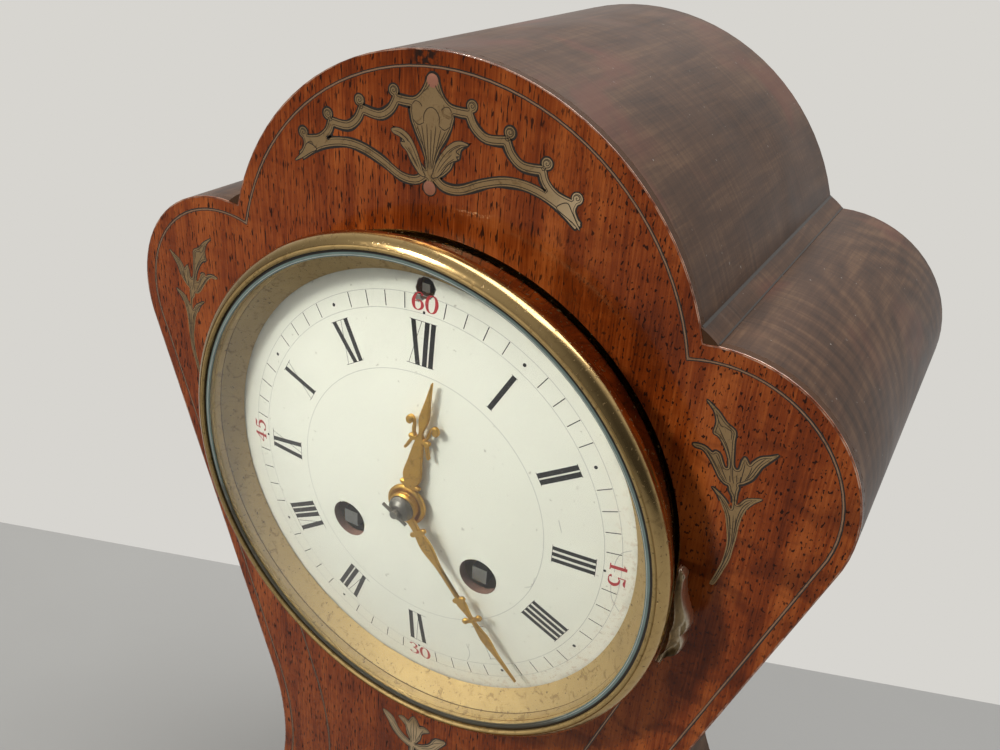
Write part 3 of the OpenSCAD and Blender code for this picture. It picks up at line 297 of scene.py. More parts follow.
enamelLook = {"white": (0.79, 0.79, 0.70, 1), "shade": (0.62, 0.60, 0.52, 1), "speck": (0.30, 0.27, 0.22, 1),
    "rim": (0.36, 0.34, 0.29, 1), "aged": (0.50, 0.34, 0.22, 1), "flaked": (0.16, 0.15, 0.135, 1),
    "chip": (0.030, 0.028, 0.027, 1), "copper": (0.20, 0.105, 0.075, 1), "holeAt": 43.1, "flakedAt": (-1.2, 41.3)}


def makeEnamel():
    shade = newFinish("whiteEnamel")
    coords, x, _, z = place(shade)
    reach, way = away(x, z), wayRound(x, z)
    cloud = noise(coords, 0.06, 4, 0.5)
    colour = mix(cloud * 0.30, enamelLook["white"], enamelLook["shade"])
    speck = step(noise(coords, 0.9, 2), 0.715, 0.75)
    colour = mix(speck * 0.45, colour, enamelLook["speck"])
    rim = step(reach + noise(coords, 0.3, 4) * 3, 45.4, 47.9)
    colour = mix(rim * 0.45, colour, enamelLook["rim"])
    aged = step(reach, 38.5, 45.5) * step(shade.maths("COSINE", way - 2.15), 0.2, 0.95)
    spots = step(noise(coords, 1.1, 4, 0, 0.7), 0.52, 0.66)
    colour = mix(aged * (0.10 + spots * 0.42), colour, enamelLook["aged"])
    # chipped edge round the regulating hole
    ragged = noise(coords, 0.9, 3)
    chip = step(away(x, z - enamelLook["holeAt"]) + ragged * 1.4, 2.80, 2.55)
    aside, high = enamelLook["flakedAt"]
    flaked = step(away(x - aside, z - high) + ragged * 1.0, 1.55, 1.25)
    colour = mix(flaked, colour, enamelLook["flaked"])
    colour = mix(chip, colour, enamelLook["chip"])
    facing = split(shade.add("NewGeometry", out=1))[1]
    wall = step(abs(facing), 0.75, 0.35)
    colour = mix(wall, colour, enamelLook["copper"])
    return close(shade, {"Base Color": colour, "Roughness": 0.16 + cloud * 0.10 + chip * 0.4 + wall * 0.4,
        "Specular IOR Level": 0.5, "Coat Weight": 0.3 - chip * 0.3, "Coat Roughness": 0.06,
        "Normal": bump(cloud * 0.8 - speck * 0.3 - chip * 1.5, 0.25, 0.08)})


# the edge is lighter where polish is worn, and lighter also as a painted highlight line along the corner
def makeEdge(dark, bareAndHighlit):  # polish rubbed thin along the corner
    shade = newFinish("rubbedEdgeAndHighlight")
    rub = noise(place(shade)[0], 0.30, 4, 0.6)
    return close(shade, {"Base Color": mix(step(rub, 0.40, 0.66), dark, bareAndHighlit), "Roughness": 0.18 + rub * 0.2,
        "Coat Weight": 0.5 + rub * 0.3})


thinPaint = (0.55, 0.54, 0.48, 1)


def makePaint(name, colour, worn):
    shade = newFinish(name)
    grain = noise(place(shade)[0], 1.6, 4)
    return close(shade, {"Base Color": mix(step(grain, 0.60, 0.74) * worn, colour, thinPaint),
        "Roughness": 0.24 + grain * 0.2, "Normal": bump(grain, 0.15, 0.02)})


glassLook = {"tint": (0.975, 0.99, 0.982, 1), "shadow": (0.95, 0.97, 0.96, 1), "lowerShade": (0.050, 0.038, 0.020, 1),
    "lowerShadeAt": 3.35}


def makeGlass():
    shade = newFinish("clearGlass")
    body = shade.add("BsdfPrincipled", {}, {"Base Color": glassLook["tint"], "Roughness": 0.015,
        "Transmission Weight": 1.0, "IOR": 1.46})
    clear = shade.add("BsdfTransparent", {}, {"Color": glassLook["shadow"]})
    shadowRay = shade.add("LightPath", out=1)
    return close(shade, shade.add("MixShader", {}, {0: shadowRay, 1: body, 2: clear}))


def makeGlassEdge(name, dim, pale):
    shade = newFinish(name)
    coords, x, _, z = place(shade)
    cloud = noise(coords, 0.25, 3)
    # painted shade: the glass edge is darkened towards the bottom
    below = shade.maths("COSINE", wayRound(x, z) - glassLook["lowerShadeAt"])
    low = step(below + cloud * 0.3, 0.42, 0.80)  # painted shade, darker towards the bottom
    colour = mix(low * 0.92, mix(cloud, dim, pale), glassLook["lowerShade"])
    return close(shade, {"Base Color": colour, "Roughness": 0.12 + cloud * 0.1 + low * 0.3,
        "Coat Weight": 0.6 - low * 0.5})


finishes = {
    "veneer": makeVeneer(),
    "side": makeSideWood("satinSideWood", 1),
    "back": makeSideWood("backBoardWood", 2, 0.02, 0.2),
    "base": makeSideWood("plinthWood", 0, 0.02, 0.3),
    # pinkish light edge colour: worn polish and a painted highlight
    "edge": makeEdge((0.16, 0.040, 0.010, 1), (0.52, 0.30, 0.20, 1)),
    "bezel": makeMetal("bezelBrass", "bezel", True, 0.35),
    "gilt": makeMetal("matteGilt", "gilt", True, 0.3),
    "hand": makeMetal("gildedHands", "hand"),
    "inlay": makeMetal("inlaidBrass", "inlay"),
    "string": makeMetal("stringBrass", "string"),
    "train": makeMetal("clockworkBrass", "train"),
    "turned": makeMetal("turnedBrass", "train", True),
    "centre": makeMetal("centreWheelBrass", "train", arbor=2.3),
    "bell": makeMetal("bellMetal", "bell"),
    "copper": makeMetal("copperInlay", "copper"),
    "leaf": makeMetal("castBrass", "cast", True),
    "nut": makeMetal("darkSteel", "nut"),
    "steel": makeMetal("greySteel", "steel"),
    "enamel": makeEnamel(),
    "black": makePaint("blackPrint", (0.008, 0.008, 0.010, 1), 0.12),
    "red": makePaint("redPrint", (0.40, 0.022, 0.028, 1), 0.3),
    "hair": makePaint("hairlinePrint", (0.33, 0.33, 0.31, 1), 0.7),
    # dark mastic of the inlay seams, used also as a painted shadow in the gap round the glass
    "mastic": makePaint("darkMasticAndGapShadow", (0.016, 0.010, 0.006, 1), 0.0),
    "graver": makePaint("engravedLine", (0.040, 0.024, 0.011, 1), 0.05),
    "glass": makeGlass(),
    "rim": makeGlassEdge("glassEdge", (0.09, 0.135, 0.125, 1), (0.20, 0.28, 0.26, 1)),
    # pale colour of the painted highlight line on the glass's edge
    "glint": makeGlassEdge("paintedGlassGlint", (0.46, 0.52, 0.49, 1), (0.56, 0.57, 0.52, 1)),
}
print("finishes made:", len(finishes))

# Solids by finish; the rest of the clockwork is train brass
dress = {
    "veneer": ["front_facing"], "side": ["carcass"], "back": ["back_board"], "base": ["plinth"],
    "inlay": ["crest_inlay", "spray_inlays"], "string": ["stringing_inlay"], "enamel": ["dial"],
    "gilt": ["sight_ring", "glass_retainer"], "glass": ["bezel_glass"], "hand": ["minute_hand", "hour_hand"],
    "bezel": ["bezel", "mount_ring", "thumb_piece", "hinge_leaves"], "bell": ["bell"], "centre": ["centre_wheel"],
    "turned": ["rear_ring", "rear_door", "feet", "pendulum_bob", "count_wheel"],
    "nut": ["hand_nut", "hand_pin", "regulator_arbor"],
    "steel": ["hinge_pins", "strap_screws", "going_mainspring", "going_arbor", "going_click", "strike_mainspring",
        "strike_arbor", "strike_click", "fly", "hammer", "pallets", "suspension_spring"],
}


def dressSolids():
    given = {name: kind for kind, names in dress.items() for name in names}
    for name, piece in nodes.items():
        piece.data.materials.clear()
        piece.data.materials.append(finishes[given.get(name, "train")])


dressSolids()
print("solids dressed")


def flatCaps(outline):
    return [tuple(cap) for cap in tessellate_polygon([[Vector((p.x, p.y, 0)) for p in outline]])]


class Sheet:  # points and faces gathered for one piece
    def __init__(self):
        self.points = []
        self.faces = []

    def ring(self, points, faces):
        first = len(self.points)
        self.points += points
        self.faces += [tuple(first + i for i in face) for face in faces]

    def grid(self, rows, loop=False, ring=False, flip=False, caps=()):  # rows as loops, last row joined to first
        cols = len(rows[0])
        faces = []
        for j in range(len(rows) if ring else len(rows) - 1):
            a, b = j * cols, (j + 1) % len(rows) * cols
            for k in range(cols if loop else cols - 1):
                m = (k + 1) % cols
                faces.append((a + k, b + k, b + m, a + m) if flip else (a + k, a + m, b + m, b + k))
        self.ring([p for row in rows for p in row], faces + list(caps))

    def flat(self, outline, lift):
        self.ring(layFlat(outline, lift), flatCaps(outline))

    def make(self, name, finish, slot, body="case", smooth=35):
        mesh = bpy.data.meshes.new(name)
        mesh.from_pydata([tuple(p) for p in self.points], [], self.faces)
        mesh.validate()
        mesh.polygons.foreach_set("use_smooth", [True] * len(mesh.polygons))
        mesh.set_sharp_from_angle(angle=math.radians(smooth))
        mesh.materials.append(finishes[finish])
        piece = bpy.data.objects.new(name, mesh)
        bpy.context.scene.collection.objects.link(piece)
        if body:
            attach(piece, body)
        return piece


def layFlat(points, lift):  # points of the front, lifted off the veneer
    return [spot(p.x, -lift, p.y) for p in points]


def turns(count):
    return [2 * math.pi * k / count for k in range(count)]


def smoothLine(points, steps=6, closed=False):
    count = len(points)
    held = (lambda i: points[i % count]) if closed else (lambda i: points[max(0, min(count - 1, i))])
    line = []
    for i in range(count if closed else count - 1):
        a, b, c, d = [Vector(held(i + k)) for k in (-1, 0, 1, 2)]
        for k in range(steps):
            t = k / steps
            line.append(b + (c - a) * (t / 2) + (a - b * 2.5 + c * 2 - d * 0.5) * (t * t)
                + ((b - c) * 1.5 + (d - a) * 0.5) * (t ** 3))
    return line if closed else line + [Vector(points[-1])]


def sideways(line, i, closed=False):
    count = len(line)
    after = line[(i + 1) % count] if closed else line[min(count - 1, i + 1)]
    before = line[(i - 1) % count] if closed else line[max(0, i - 1)]
    along = after - before
    return Vector((along.y, -along.x)).normalized() if along.length > 1e-9 else Vector((0, 0))


def shifted(line, widths, closed=True):  # a line moved out sideways, by one width or by one for each point
    if not isinstance(widths, list):
        widths = [widths] * len(line)
    return [p + sideways(line, i, closed) * w for i, (p, w) in enumerate(zip(line, widths))]


def bothSides(line, halves):  # the two edges of an open stroke
    return shifted(line, halves, False), shifted(line, [-half for half in halves], False)


def winding(loop):  # 1 where a loop runs anticlockwise
    return 1 if sum(a.x * b.y - b.x * a.y for a, b in zip(loop, loop[1:] + loop[:1])) > 0 else -1


# Flat loops on the front of a solid, in millimetres, with the metal on their left
def frontLoops(name):
    mesh = nodes[name].data
    front = min(v.co.y for v in mesh.vertices) + 0.02 * mm
    edges = set()
    for polygon in mesh.polygons:
        corners = [mesh.vertices[i].co for i in polygon.vertices]
        if max(c.y for c in corners) > front:
            continue
        ring = [(round((c.x - dialX) / mm, 3), round((c.z - dialZ) / mm, 3)) for c in corners]
        for a, b in zip(ring, ring[1:] + ring[:1]):
            if (b, a) in edges:
                edges.discard((b, a))
            else:
                edges.add((a, b))
    follow = {}
    for a, b in sorted(edges):
        follow.setdefault(a, []).append(b)
    loops = []
    while follow:
        at = next(iter(follow))
        loop = []
        while at in follow:
            loop.append(Vector(at))
            on = follow[at].pop()
            if not follow[at]:
                del follow[at]
            at = on
        if len(loop) > 3:
            loops.append(loop)
    return loops


def evenLoop(loop, pitch):
    out = []
    carry = 0.0
    for a, b in zip(loop, loop[1:] + loop[:1]):
        length = (b - a).length
        while carry < length:
            out.append(a + (b - a) * (carry / length))
            carry += pitch
        carry -= length
    return out


def wander(count, low, high, reach, seed):  # a width that changes slowly along a loop
    chance = random.Random(seed)
    knots = [chance.uniform(low, high) for k in range(max(4, count // reach))]
    out = []
    for i in range(count):
        t = i * len(knots) / count
        k = int(t)
        f = t - k
        f = f * f * (3 - 2 * f)
        out.append(knots[k % len(knots)] * (1 - f) + knots[(k + 1) % len(knots)] * f)
    return out


# Inlay: widths in millimetres, and how far each layer is lifted off the veneer
inlayLook = {"seam": (0.16, 0.46), "flowerSeam": (0.10, 0.42), "lineSeam": (-0.13, -0.01), "seamIn": 0.02,
    "lineIn": (0.28, 0.22), "margin": 0.26, "ground": 0.5, "inset": 0.30, "contour": 0.14, "cut": 0.13,
    "flowerCut": 0.15, "curl": 0.55, "seamPitch": 0.22, "lineSeamPitch": 0.5, "reach": 14, "flowerReach": 26,
    "shortest": 4, "flowersFrom": 40, "cutPitch": 0.16, "clear": 0.86, "longest": 240}
inlayLift = {"seam": 0.012, "curl": 0.014, "wood": 0.016, "leafSeam": 0.018, "flowerSeam": 0.020, "brass": 0.026,
    "cut": 0.032, "flowerCut": 0.034}


def sideFlower(name, loop):  # the two flowers are drawn again in full by makeFlowers
    return name == "spray_inlays" and abs(loop[0].x - crestAt[0]) > inlayLook["flowersFrom"]


def makeSeams():
    mastic, wood = Sheet(), Sheet()
    for name, key in (("crest_inlay", "seam"), ("spray_inlays", "seam"), ("stringing_inlay", "lineSeam")):
        for n, loop in enumerate(frontLoops(name)):
            length = sum((a - b).length for a, b in zip(loop, loop[1:]))
            if length < inlayLook["shortest"] or sideFlower(name, loop):
                continue
            line = evenLoop(loop, inlayLook[key + "Pitch"])
            within = inlayLook["seamIn"] if key == "seam" else inlayLook["lineIn"][n % 2]
            inner = shifted(line, -within)
            outer = shifted(line, wander(len(line), *inlayLook[key], inlayLook["reach"], len(line) + n))
            mastic.grid([layFlat(row, inlayLift["seam"]) for row in (inner, outer)], loop=True)
            if key == "lineSeam":
                margin = shifted(line, inlayLook["margin"])
                wood.grid([layFlat(row, inlayLift["wood"]) for row in (outer, margin)], loop=True)
    wood.make("stringMargins", "veneer", "veneer")
    mastic.make("inlaySeams", "mastic", "veneer")


def cutLine(sheet, points, width, lift, ends=0.3):  # one engraved line, tapering at its ends
    count = len(points)
    if count < 3:
        return
    tapers = [min(1, min(i, count - 1 - i) / (count - 1) * 6) for i in range(count)]
    halves = [width * (ends + (1 - ends) * taper) / 2 for taper in tapers]
    sheet.grid([layFlat(side, lift) for side in bothSides(points, halves)])


# Engraved lines and cut outlines, in millimetres; the pairs are mirrored
crestAt = (-3.0, 60.05)
waistAt = (-3.0, -78.5)
crestCuts = [[(-1.5, 9.6), (-1.5, 11.0), (-0.9, 12.0), (0, 12.4), (0.9, 12.0), (1.5, 11.0), (1.5, 9.6)],
    [(0, 2.2), (0, 6), (0, 8.8)]]
crestPairs = [[(3.6, 9.9), (2.6, 9.2), (1.5, 9.7)], [(3.9, 12.2), (3.3, 12.9), (2.4, 12.8), (1.9, 12.2)],
    [(1.7, 14.6), (0.9, 15.4), (0.4, 16.2)], [(0.25, 2.2), (0.6, 6), (0.9, 9.6)],
    [(0.45, 2.4), (1.2, 6), (1.9, 9.2)], [(0.6, 3.4), (1.7, 6.6), (2.8, 9.0)]]
waistCuts = [[(0, 1), (0, 5), (0, 8.4)]]
waistPairs = [[(0.5, 1.4), (0.8, 4.4), (0.7, 6.8)], [(1.2, 0.0), (3.8, 1.6), (5.8, 4.0), (8.4, 6.0)],
    [(2.2, 0.0), (4.6, 1.4), (6.4, 3.6)], [(0.7, 1.6), (1.6, 3.8), (2.8, 6.8)]]
leafCuts = [[(-4.7, 61.6), (-5.7, 63.6), (-7.0, 65.8), (-8.8, 67.1), (-10.6, 67.4)],
    [(-5.2, 61.8), (-6.4, 63.6), (-7.6, 65.2)], [(-7.4, 66.0), (-8.2, 66.7), (-9.3, 67.2)],
    [(-5.6, 62.2), (-6.9, 64.0), (-8.2, 65.2)],
    [(-1.9, 62.2), (-0.9, 64.2), (0.6, 66.1), (2.4, 67.3), (3.9, 67.6)],
    [(-1.5, 62.0), (-0.3, 63.9), (1.2, 65.6)], [(0.5, 65.6), (1.6, 66.6), (2.8, 67.3)],
    [(-0.9, 62.3), (0.4, 63.9), (1.7, 65.0)]]
crestLeaves = [
    [(-4.0, 60.9), (-4.54, 61.8), (-4.87, 62.73), (-5.84, 64.95), (-7.05, 66.77), (-8.39, 67.67),
        (-9.77, 67.95), (-10.98, 67.52), (-10.47, 66.94), (-9.37, 66.66), (-8.45, 66.23), (-8.19, 65.8),
        (-9.02, 65.7), (-8.68, 65.15), (-7.74, 64.37), (-6.96, 63.18), (-6.1, 62.13), (-5.0, 61.0)],
    [(-2.6, 61.0), (-2.29, 61.9), (-1.86, 63.36), (-0.88, 65.19), (0.33, 66.71), (1.63, 67.7), (2.94, 68.02),
        (4.2, 67.74), (3.22, 67.28), (2.31, 66.7), (1.94, 66.09), (2.75, 65.65), (1.98, 65.43), (2.24, 64.88),
        (1.39, 64.5), (0.31, 63.6), (-0.52, 62.4), (-1.5, 61.3)],
    [(-29.2, 61.6), (-30.18, 60.4), (-30.7, 59.6), (-32.42, 57.89), (-30.64, 58.78), (-28.77, 60.04),
        (-27.4, 60.9)],
    [(22.6, 62.2), (23.53, 61.1), (24.41, 59.73), (25.27, 58.47), (24.02, 59.43), (22.27, 60.35), (21.0, 61.2)],
]
flowerShape = [(56.72, 2.87), (57.33, 5.36), (57.93, 8.71), (57.93, 12.29), (57.35, 14.94), (56.68, 17.23),
    (55.94, 18.61), (54.8, 20.51), (53.75, 21.55), (54.94, 21.0), (56.31, 20.02), (57.36, 18.73),
    (57.46, 19.57), (57.18, 21.13), (56.55, 21.97), (56.19, 22.87), (55.46, 23.03), (54.41, 23.83),
    (53.59, 24.97), (52.4, 26.55), (51.04, 27.77), (49.75, 27.82), (49.3, 28.24), (50.29, 28.52), (51.4, 28.42),
    (52.28, 27.96), (52.68, 27.85), (53.07, 28.28), (53.86, 28.0), (54.52, 26.74), (55.04, 25.95),
    (55.52, 26.14), (55.22, 27.69), (54.19, 29.68), (53.02, 31.02), (52.12, 31.46), (52.23, 33.38),
    (51.55, 35.19), (50.08, 36.7), (52.19, 35.43), (53.86, 33.84), (55.45, 32.89), (55.65, 31.04),
    (55.92, 29.04), (56.29, 26.92), (56.79, 26.24), (57.28, 26.55), (57.41, 27.99), (57.77, 28.93),
    (58.33, 28.37), (58.74, 27.9), (59.2, 28.77), (60.09, 29.87), (61.45, 30.58), (62.62, 31.25),
    (61.63, 29.71), (60.65, 28.25), (60.19, 27.0), (59.6, 25.46), (58.52, 24.24), (57.72, 23.63),
    (57.92, 23.06), (57.84, 22.19), (57.92, 21.17), (58.07, 19.95), (58.57, 20.23), (59.31, 21.44),
    (60.5, 22.13), (61.84, 22.5), (60.73, 21.24), (59.88, 19.74), (59.43, 17.76), (59.29, 15.84),
    (59.33, 13.97), (59.21, 11.42), (59.1, 8.98), (58.46, 6.17), (57.62, 3.02), (56.99, 2.51)]
flowerCuts = [[(53.54, 33.1), (54.23, 32.84), (54.9, 32.53), (55.07, 31.08)],
    [(52.69, 32.78), (53.65, 31.32), (54.77, 29.65), (55.68, 27.34), (56.37, 24.37)],
    [(51.96, 34.83), (52.96, 33.14), (53.57, 32.98)], [(56.19, 26.47), (56.62, 24.48), (56.95, 23.52)],
    [(50.74, 28.16), (52.3, 27.33), (53.66, 25.71), (54.6, 24.46), (55.61, 23.45)],
    [(53.18, 27.68), (53.95, 26.64), (54.83, 25.1), (55.84, 23.47)],
    [(60.91, 29.99), (59.93, 28.27), (59.35, 26.7), (58.78, 24.98)],
    [(58.0, 27.75), (57.98, 26.13), (57.93, 24.08)], [(59.15, 27.69), (58.98, 26.28), (58.5, 24.67)],
    [(54.8, 23.99), (55.13, 23.52), (55.5, 23.29)], [(56.05, 24.79), (56.34, 23.54)],
    [(57.12, 25.24), (57.38, 23.93)], [(57.81, 25.25), (57.88, 23.97)],
    [(54.46, 20.79), (56.17, 19.28), (57.27, 17.5), (58.06, 14.98)],
    [(60.37, 21.64), (59.21, 19.92), (58.74, 17.59), (58.82, 14.75)],
    [(57.99, 17.82), (58.39, 15.13), (58.68, 11.76), (58.26, 8.26), (57.37, 3.83)],
    [(57.44, 17.58), (58.05, 14.4), (58.35, 11.6), (58.04, 8.15)],
    [(58.52, 17.49), (58.72, 15.28), (58.9, 11.86)]]
ballsAt = [(7.6, 13.9), (14.7, 11.1), (21.6, 7.6), (27.3, 3.3)]


def insetCut(sheet, loop, lift):  # a fine line following a contour just inside it
    inset, width = inlayLook["inset"], inlayLook["contour"]
    line = evenLoop(loop, inlayLook["cutPitch"])
    tree = KDTree(len(line))
    for i, p in enumerate(line):
        tree.insert((p.x, p.y, 0), i)
    tree.balance()
    run = []
    for i in list(range(len(line))) + [0]:
        p = line[i] - sideways(line, i, True) * inset
        if tree.find((p.x, p.y, 0))[2] > inset * inlayLook["clear"] and len(run) < inlayLook["longest"]:
            run.append(p)
        else:
            cutLine(sheet, run, width, lift)
            run = []
    cutLine(sheet, run, width, lift)


def makeEngraving():
    sheet = Sheet()
    for name in ("crest_inlay", "spray_inlays"):
        for loop in frontLoops(name):
            if not sideFlower(name, loop):
                insetCut(sheet, loop, inlayLift["seam"])
    drawn = [(cut, (0, 0), 1) for cut in leafCuts]
    for at, cuts, pairs in ((crestAt, crestCuts, crestPairs), (waistAt, waistCuts, waistPairs)):
        drawn += [(cut, at, 1) for cut in cuts] + [(cut, at, side) for cut in pairs for side in (1, -1)]
    for cut, at, side in drawn:
        line = smoothLine([(at[0] + side * x, at[1] + z) for x, z in cut], 8)
        cutLine(sheet, line, inlayLook["cut"], inlayLift["cut"])
    for side in (1, -1):  # a scroll on each ball of the crest
        for x, z in ballsAt:
            middle = Vector((crestAt[0] + side * x, crestAt[1] + z))
            curl = [middle + Vector((math.cos(9 * t), math.sin(9 * t))) * (inlayLook["curl"] * t)
                for t in [0.1 + 0.9 * k / 24 for k in range(25)]]
            cutLine(sheet, curl, inlayLook["cut"], inlayLift["curl"])
    sheet.make("inlayEngraving", "graver", "inlay_brass")


def onSide(points, side):  # a line on the right, or its mirror on the left
    return [(x if side > 0 else 2 * crestAt[0] - x, z) for x, z in points]


def makeFlowers():  # veneer laid over the plainer flowers, then each flower with its mastic and engraving
    wood, brass, mastic, cuts = Sheet(), Sheet(), Sheet(), Sheet()
    for loop in frontLoops("spray_inlays"):
        if sideFlower("spray_inlays", loop):
            hull = [loop[i] for i in convex_hull_2d([(p.x, p.y) for p in loop])]
            middle = sum(hull, Vector((0, 0))) / len(hull)
            hull = [p + (p - middle).normalized() * inlayLook["ground"] for p in hull]
            wood.ring(layFlat(hull, inlayLift["wood"]), [tuple(range(len(hull)))])
    for side in (1, -1):
        line = smoothLine(onSide(flowerShape, side), 4, True)
        if winding(line) < 0:
            line.reverse()
        widths = wander(len(line), *inlayLook["flowerSeam"], inlayLook["flowerReach"], 40 + side)
        mastic.flat(shifted(line, widths), inlayLift["flowerSeam"])
        brass.flat(line, inlayLift["brass"])
        insetCut(cuts, line, inlayLift["cut"])
        for cut in flowerCuts:
            cutLine(cuts, smoothLine(onSide(cut, side), 8), inlayLook["flowerCut"], inlayLift["flowerCut"])
    wood.make("flowerGround", "veneer", "veneer")
    mastic.make("flowerSeams", "mastic", "veneer")
    cuts.make("flowerEngraving", "graver", "inlay_brass")
    brass.make("flowerInlays", "inlay", "inlay_brass")


def makeCrestLeaves():  # cut leaves and points laid over the crest's plainer ones
    brass, mastic = Sheet(), Sheet()
    for outline in crestLeaves:
        line = smoothLine(outline, 5, True)
        seam = winding(line) * inlayLook["seam"][0]
        mastic.flat(shifted(line, seam), inlayLift["leafSeam"])
        brass.flat(line, inlayLift["brass"])
    mastic.make("crestLeafSeams", "mastic", "veneer")
    brass.make("crestLeaves", "inlay", "inlay_brass")


studLook = {"top": (16.6, 1.1), "foot": (-1.0, 1.2), "crown": 0.05, "around": 36}  # height on the crest, radius


def makeStuds():
    sheet, count = Sheet(), studLook["around"]
    for z, r in (studLook["top"], studLook["foot"]):
        rows = [[spot(crestAt[0] + r * f * math.cos(a), -studLook["crown"] * (1 - f * f) - inlayLift["seam"],
            crestAt[1] + z + r * f * math.sin(a)) for a in turns(count)] for f in (1.0, 0.8, 0.55, 0.25)]
        sheet.grid(rows, loop=True, caps=[tuple(range(3 * count, 4 * count))])
    sheet.make("crestStuds", "copper", "inlay_brass")


makeSeams()
makeCrestLeaves()
makeFlowers()
makeEngraving()
makeStuds()
print("inlay engraved")

# Dial print, laid on the enamel's dome
apexY = dialLow.y
rimR = dialHigh.x - dialX
rimY = min(v.co.y for v in nodes["dial"].data.vertices
    if math.hypot(v.co.x - dialX, v.co.z - dialZ) > rimR - 0.0001)
domeR = (rimR ** 2 + (rimY - apexY) ** 2) / (2 * (rimY - apexY))
printLook = {"turn": -0.93, "shift": 0.85, "lift": 0.02, "under": 0.012, "bar": 0.95, "gap": 0.35, "hair": 0.10,
    "foot": 28.9, "head": 37.1, "letter": 2.7, "serif": 0.22, "track": (38.5, 41.7), "trackLine": 0.075,
    "inner": 27.2, "innerLine": 0.08, "mark": 0.18, "dot": 0.34, "quarterDot": 0.27, "quarterAt": 38.75,
    "digit": 3.1, "digitStroke": 0.58, "digitStep": 0.80, "digitWide": 1.14, "thin": 0.86, "full": 1.04,
    "crack": 0.05}
numerals = ["XII", "I", "II", "III", "IIII", "V", "VI", "VII", "VIII", "IX", "X", "XI"]


def onDial(x, z, lift):
    y = apexY + domeR - math.sqrt(domeR ** 2 - (x * mm) ** 2 - (z * mm) ** 2) - lift * mm
    return Vector((dialX + x * mm, y, dialZ + z * mm))


def printAt(u, v, hour, lift=printLook["lift"]):  # u across and v outward at an hour, in millimetres
    a = math.radians(30 * hour + printLook["turn"])
    return onDial(u * math.cos(a) + v * math.sin(a) + printLook["shift"], v * math.cos(a) - u * math.sin(a), lift)


def printBar(sheet, start, end, width, hour):  # a straight stroke between two (u, v) points, cut square to v
    count = max(2, int(abs(end[1] - start[1]) / 0.8) + 1)
    rows = []
    for k in range(count + 1):
        u = start[0] + (end[0] - start[0]) * k / count
        v = start[1] + (end[1] - start[1]) * k / count
        rows.append([printAt(u - width / 2, v, hour), printAt(u + width / 2, v, hour)])
    sheet.grid(rows)


def printRule(sheet, low, high, v, hour, count=6):  # a hairline across at radius v
    half = printLook["hair"] / 2
    across = [low + (high - low) * k / count for k in range(count + 1)]
    sheet.grid([[printAt(u, v - half, hour), printAt(u, v + half, hour)] for u in across], flip=True)


def makeNumerals():
    sheet = Sheet()
    bar, gap, hair, foot, head, letter, serif = [printLook[key]
        for key in ("bar", "gap", "hair", "foot", "head", "letter", "serif")]
    wide = {"I": bar, "V": letter, "X": letter}
    for hour, text in enumerate(numerals):
        thick = bar * printLook["thin" if text in ("III", "IIII") else "full"]
        total = sum(wide[c] for c in text) + gap * (len(text) - 1)
        u = -total / 2
        for c in text:
            w = wide[c]
            if c == "I":
                printBar(sheet, (u + w / 2, foot), (u + w / 2, head), thick, hour)
            elif c == "V":
                printBar(sheet, (u + 0.55, head), (u + w / 2 + 0.1, foot), thick, hour)
                printBar(sheet, (u + w - 0.2, head), (u + w / 2 + 0.2, foot), hair, hour)
            else:
                printBar(sheet, (u + 0.55, head), (u + w - 0.55, foot), thick, hour)
                printBar(sheet, (u + w - 0.35, head), (u + 0.25, foot), hair, hour)
            if c != "I":
                low, high = (-0.15, w + 0.1) if c == "X" else (0.9, 1.9)
                printRule(sheet, u - 0.15, u + w + 0.1, head, hour)
                printRule(sheet, u + low, u + high, foot, hour)
            u += w + gap
        for v in (head, foot):
            printRule(sheet, -total / 2 - serif, total / 2 + serif, v, hour)
    sheet.make("dialNumerals", "black", "enamel")


def printCircle(sheet, r, width, count=240):
    sheet.grid([[printAt(0, v, 12 * k / count, printLook["under"]) for v in (r - width / 2, r + width / 2)]
        for k in range(count)], ring=True)


def printDot(sheet, v, hour, r, count=20):
    rim = [printAt(r * math.sin(a), v + r * math.cos(a), hour) for a in turns(count)]
    sheet.ring(rim, [tuple(range(count))])


def makeTrack():
    lines, marks = Sheet(), Sheet()
    low, high = printLook["track"]
    printCircle(lines, low, printLook["trackLine"])
    printCircle(lines, high, printLook["trackLine"])
    printCircle(lines, printLook["inner"], printLook["innerLine"])
    for minute in range(60):
        hour = minute / 5
        if minute % 5:
            printBar(marks, (0, low + 0.3), (0, high - 0.1), printLook["mark"], hour)
        elif minute % 15:
            printDot(marks, (low + high) / 2, hour, printLook["dot"])
        else:
            printDot(marks, printLook["quarterAt"], hour, printLook["quarterDot"])
    lines.make("dialCircles", "hair", "enamel")
    marks.make("dialMinutes", "black", "enamel")


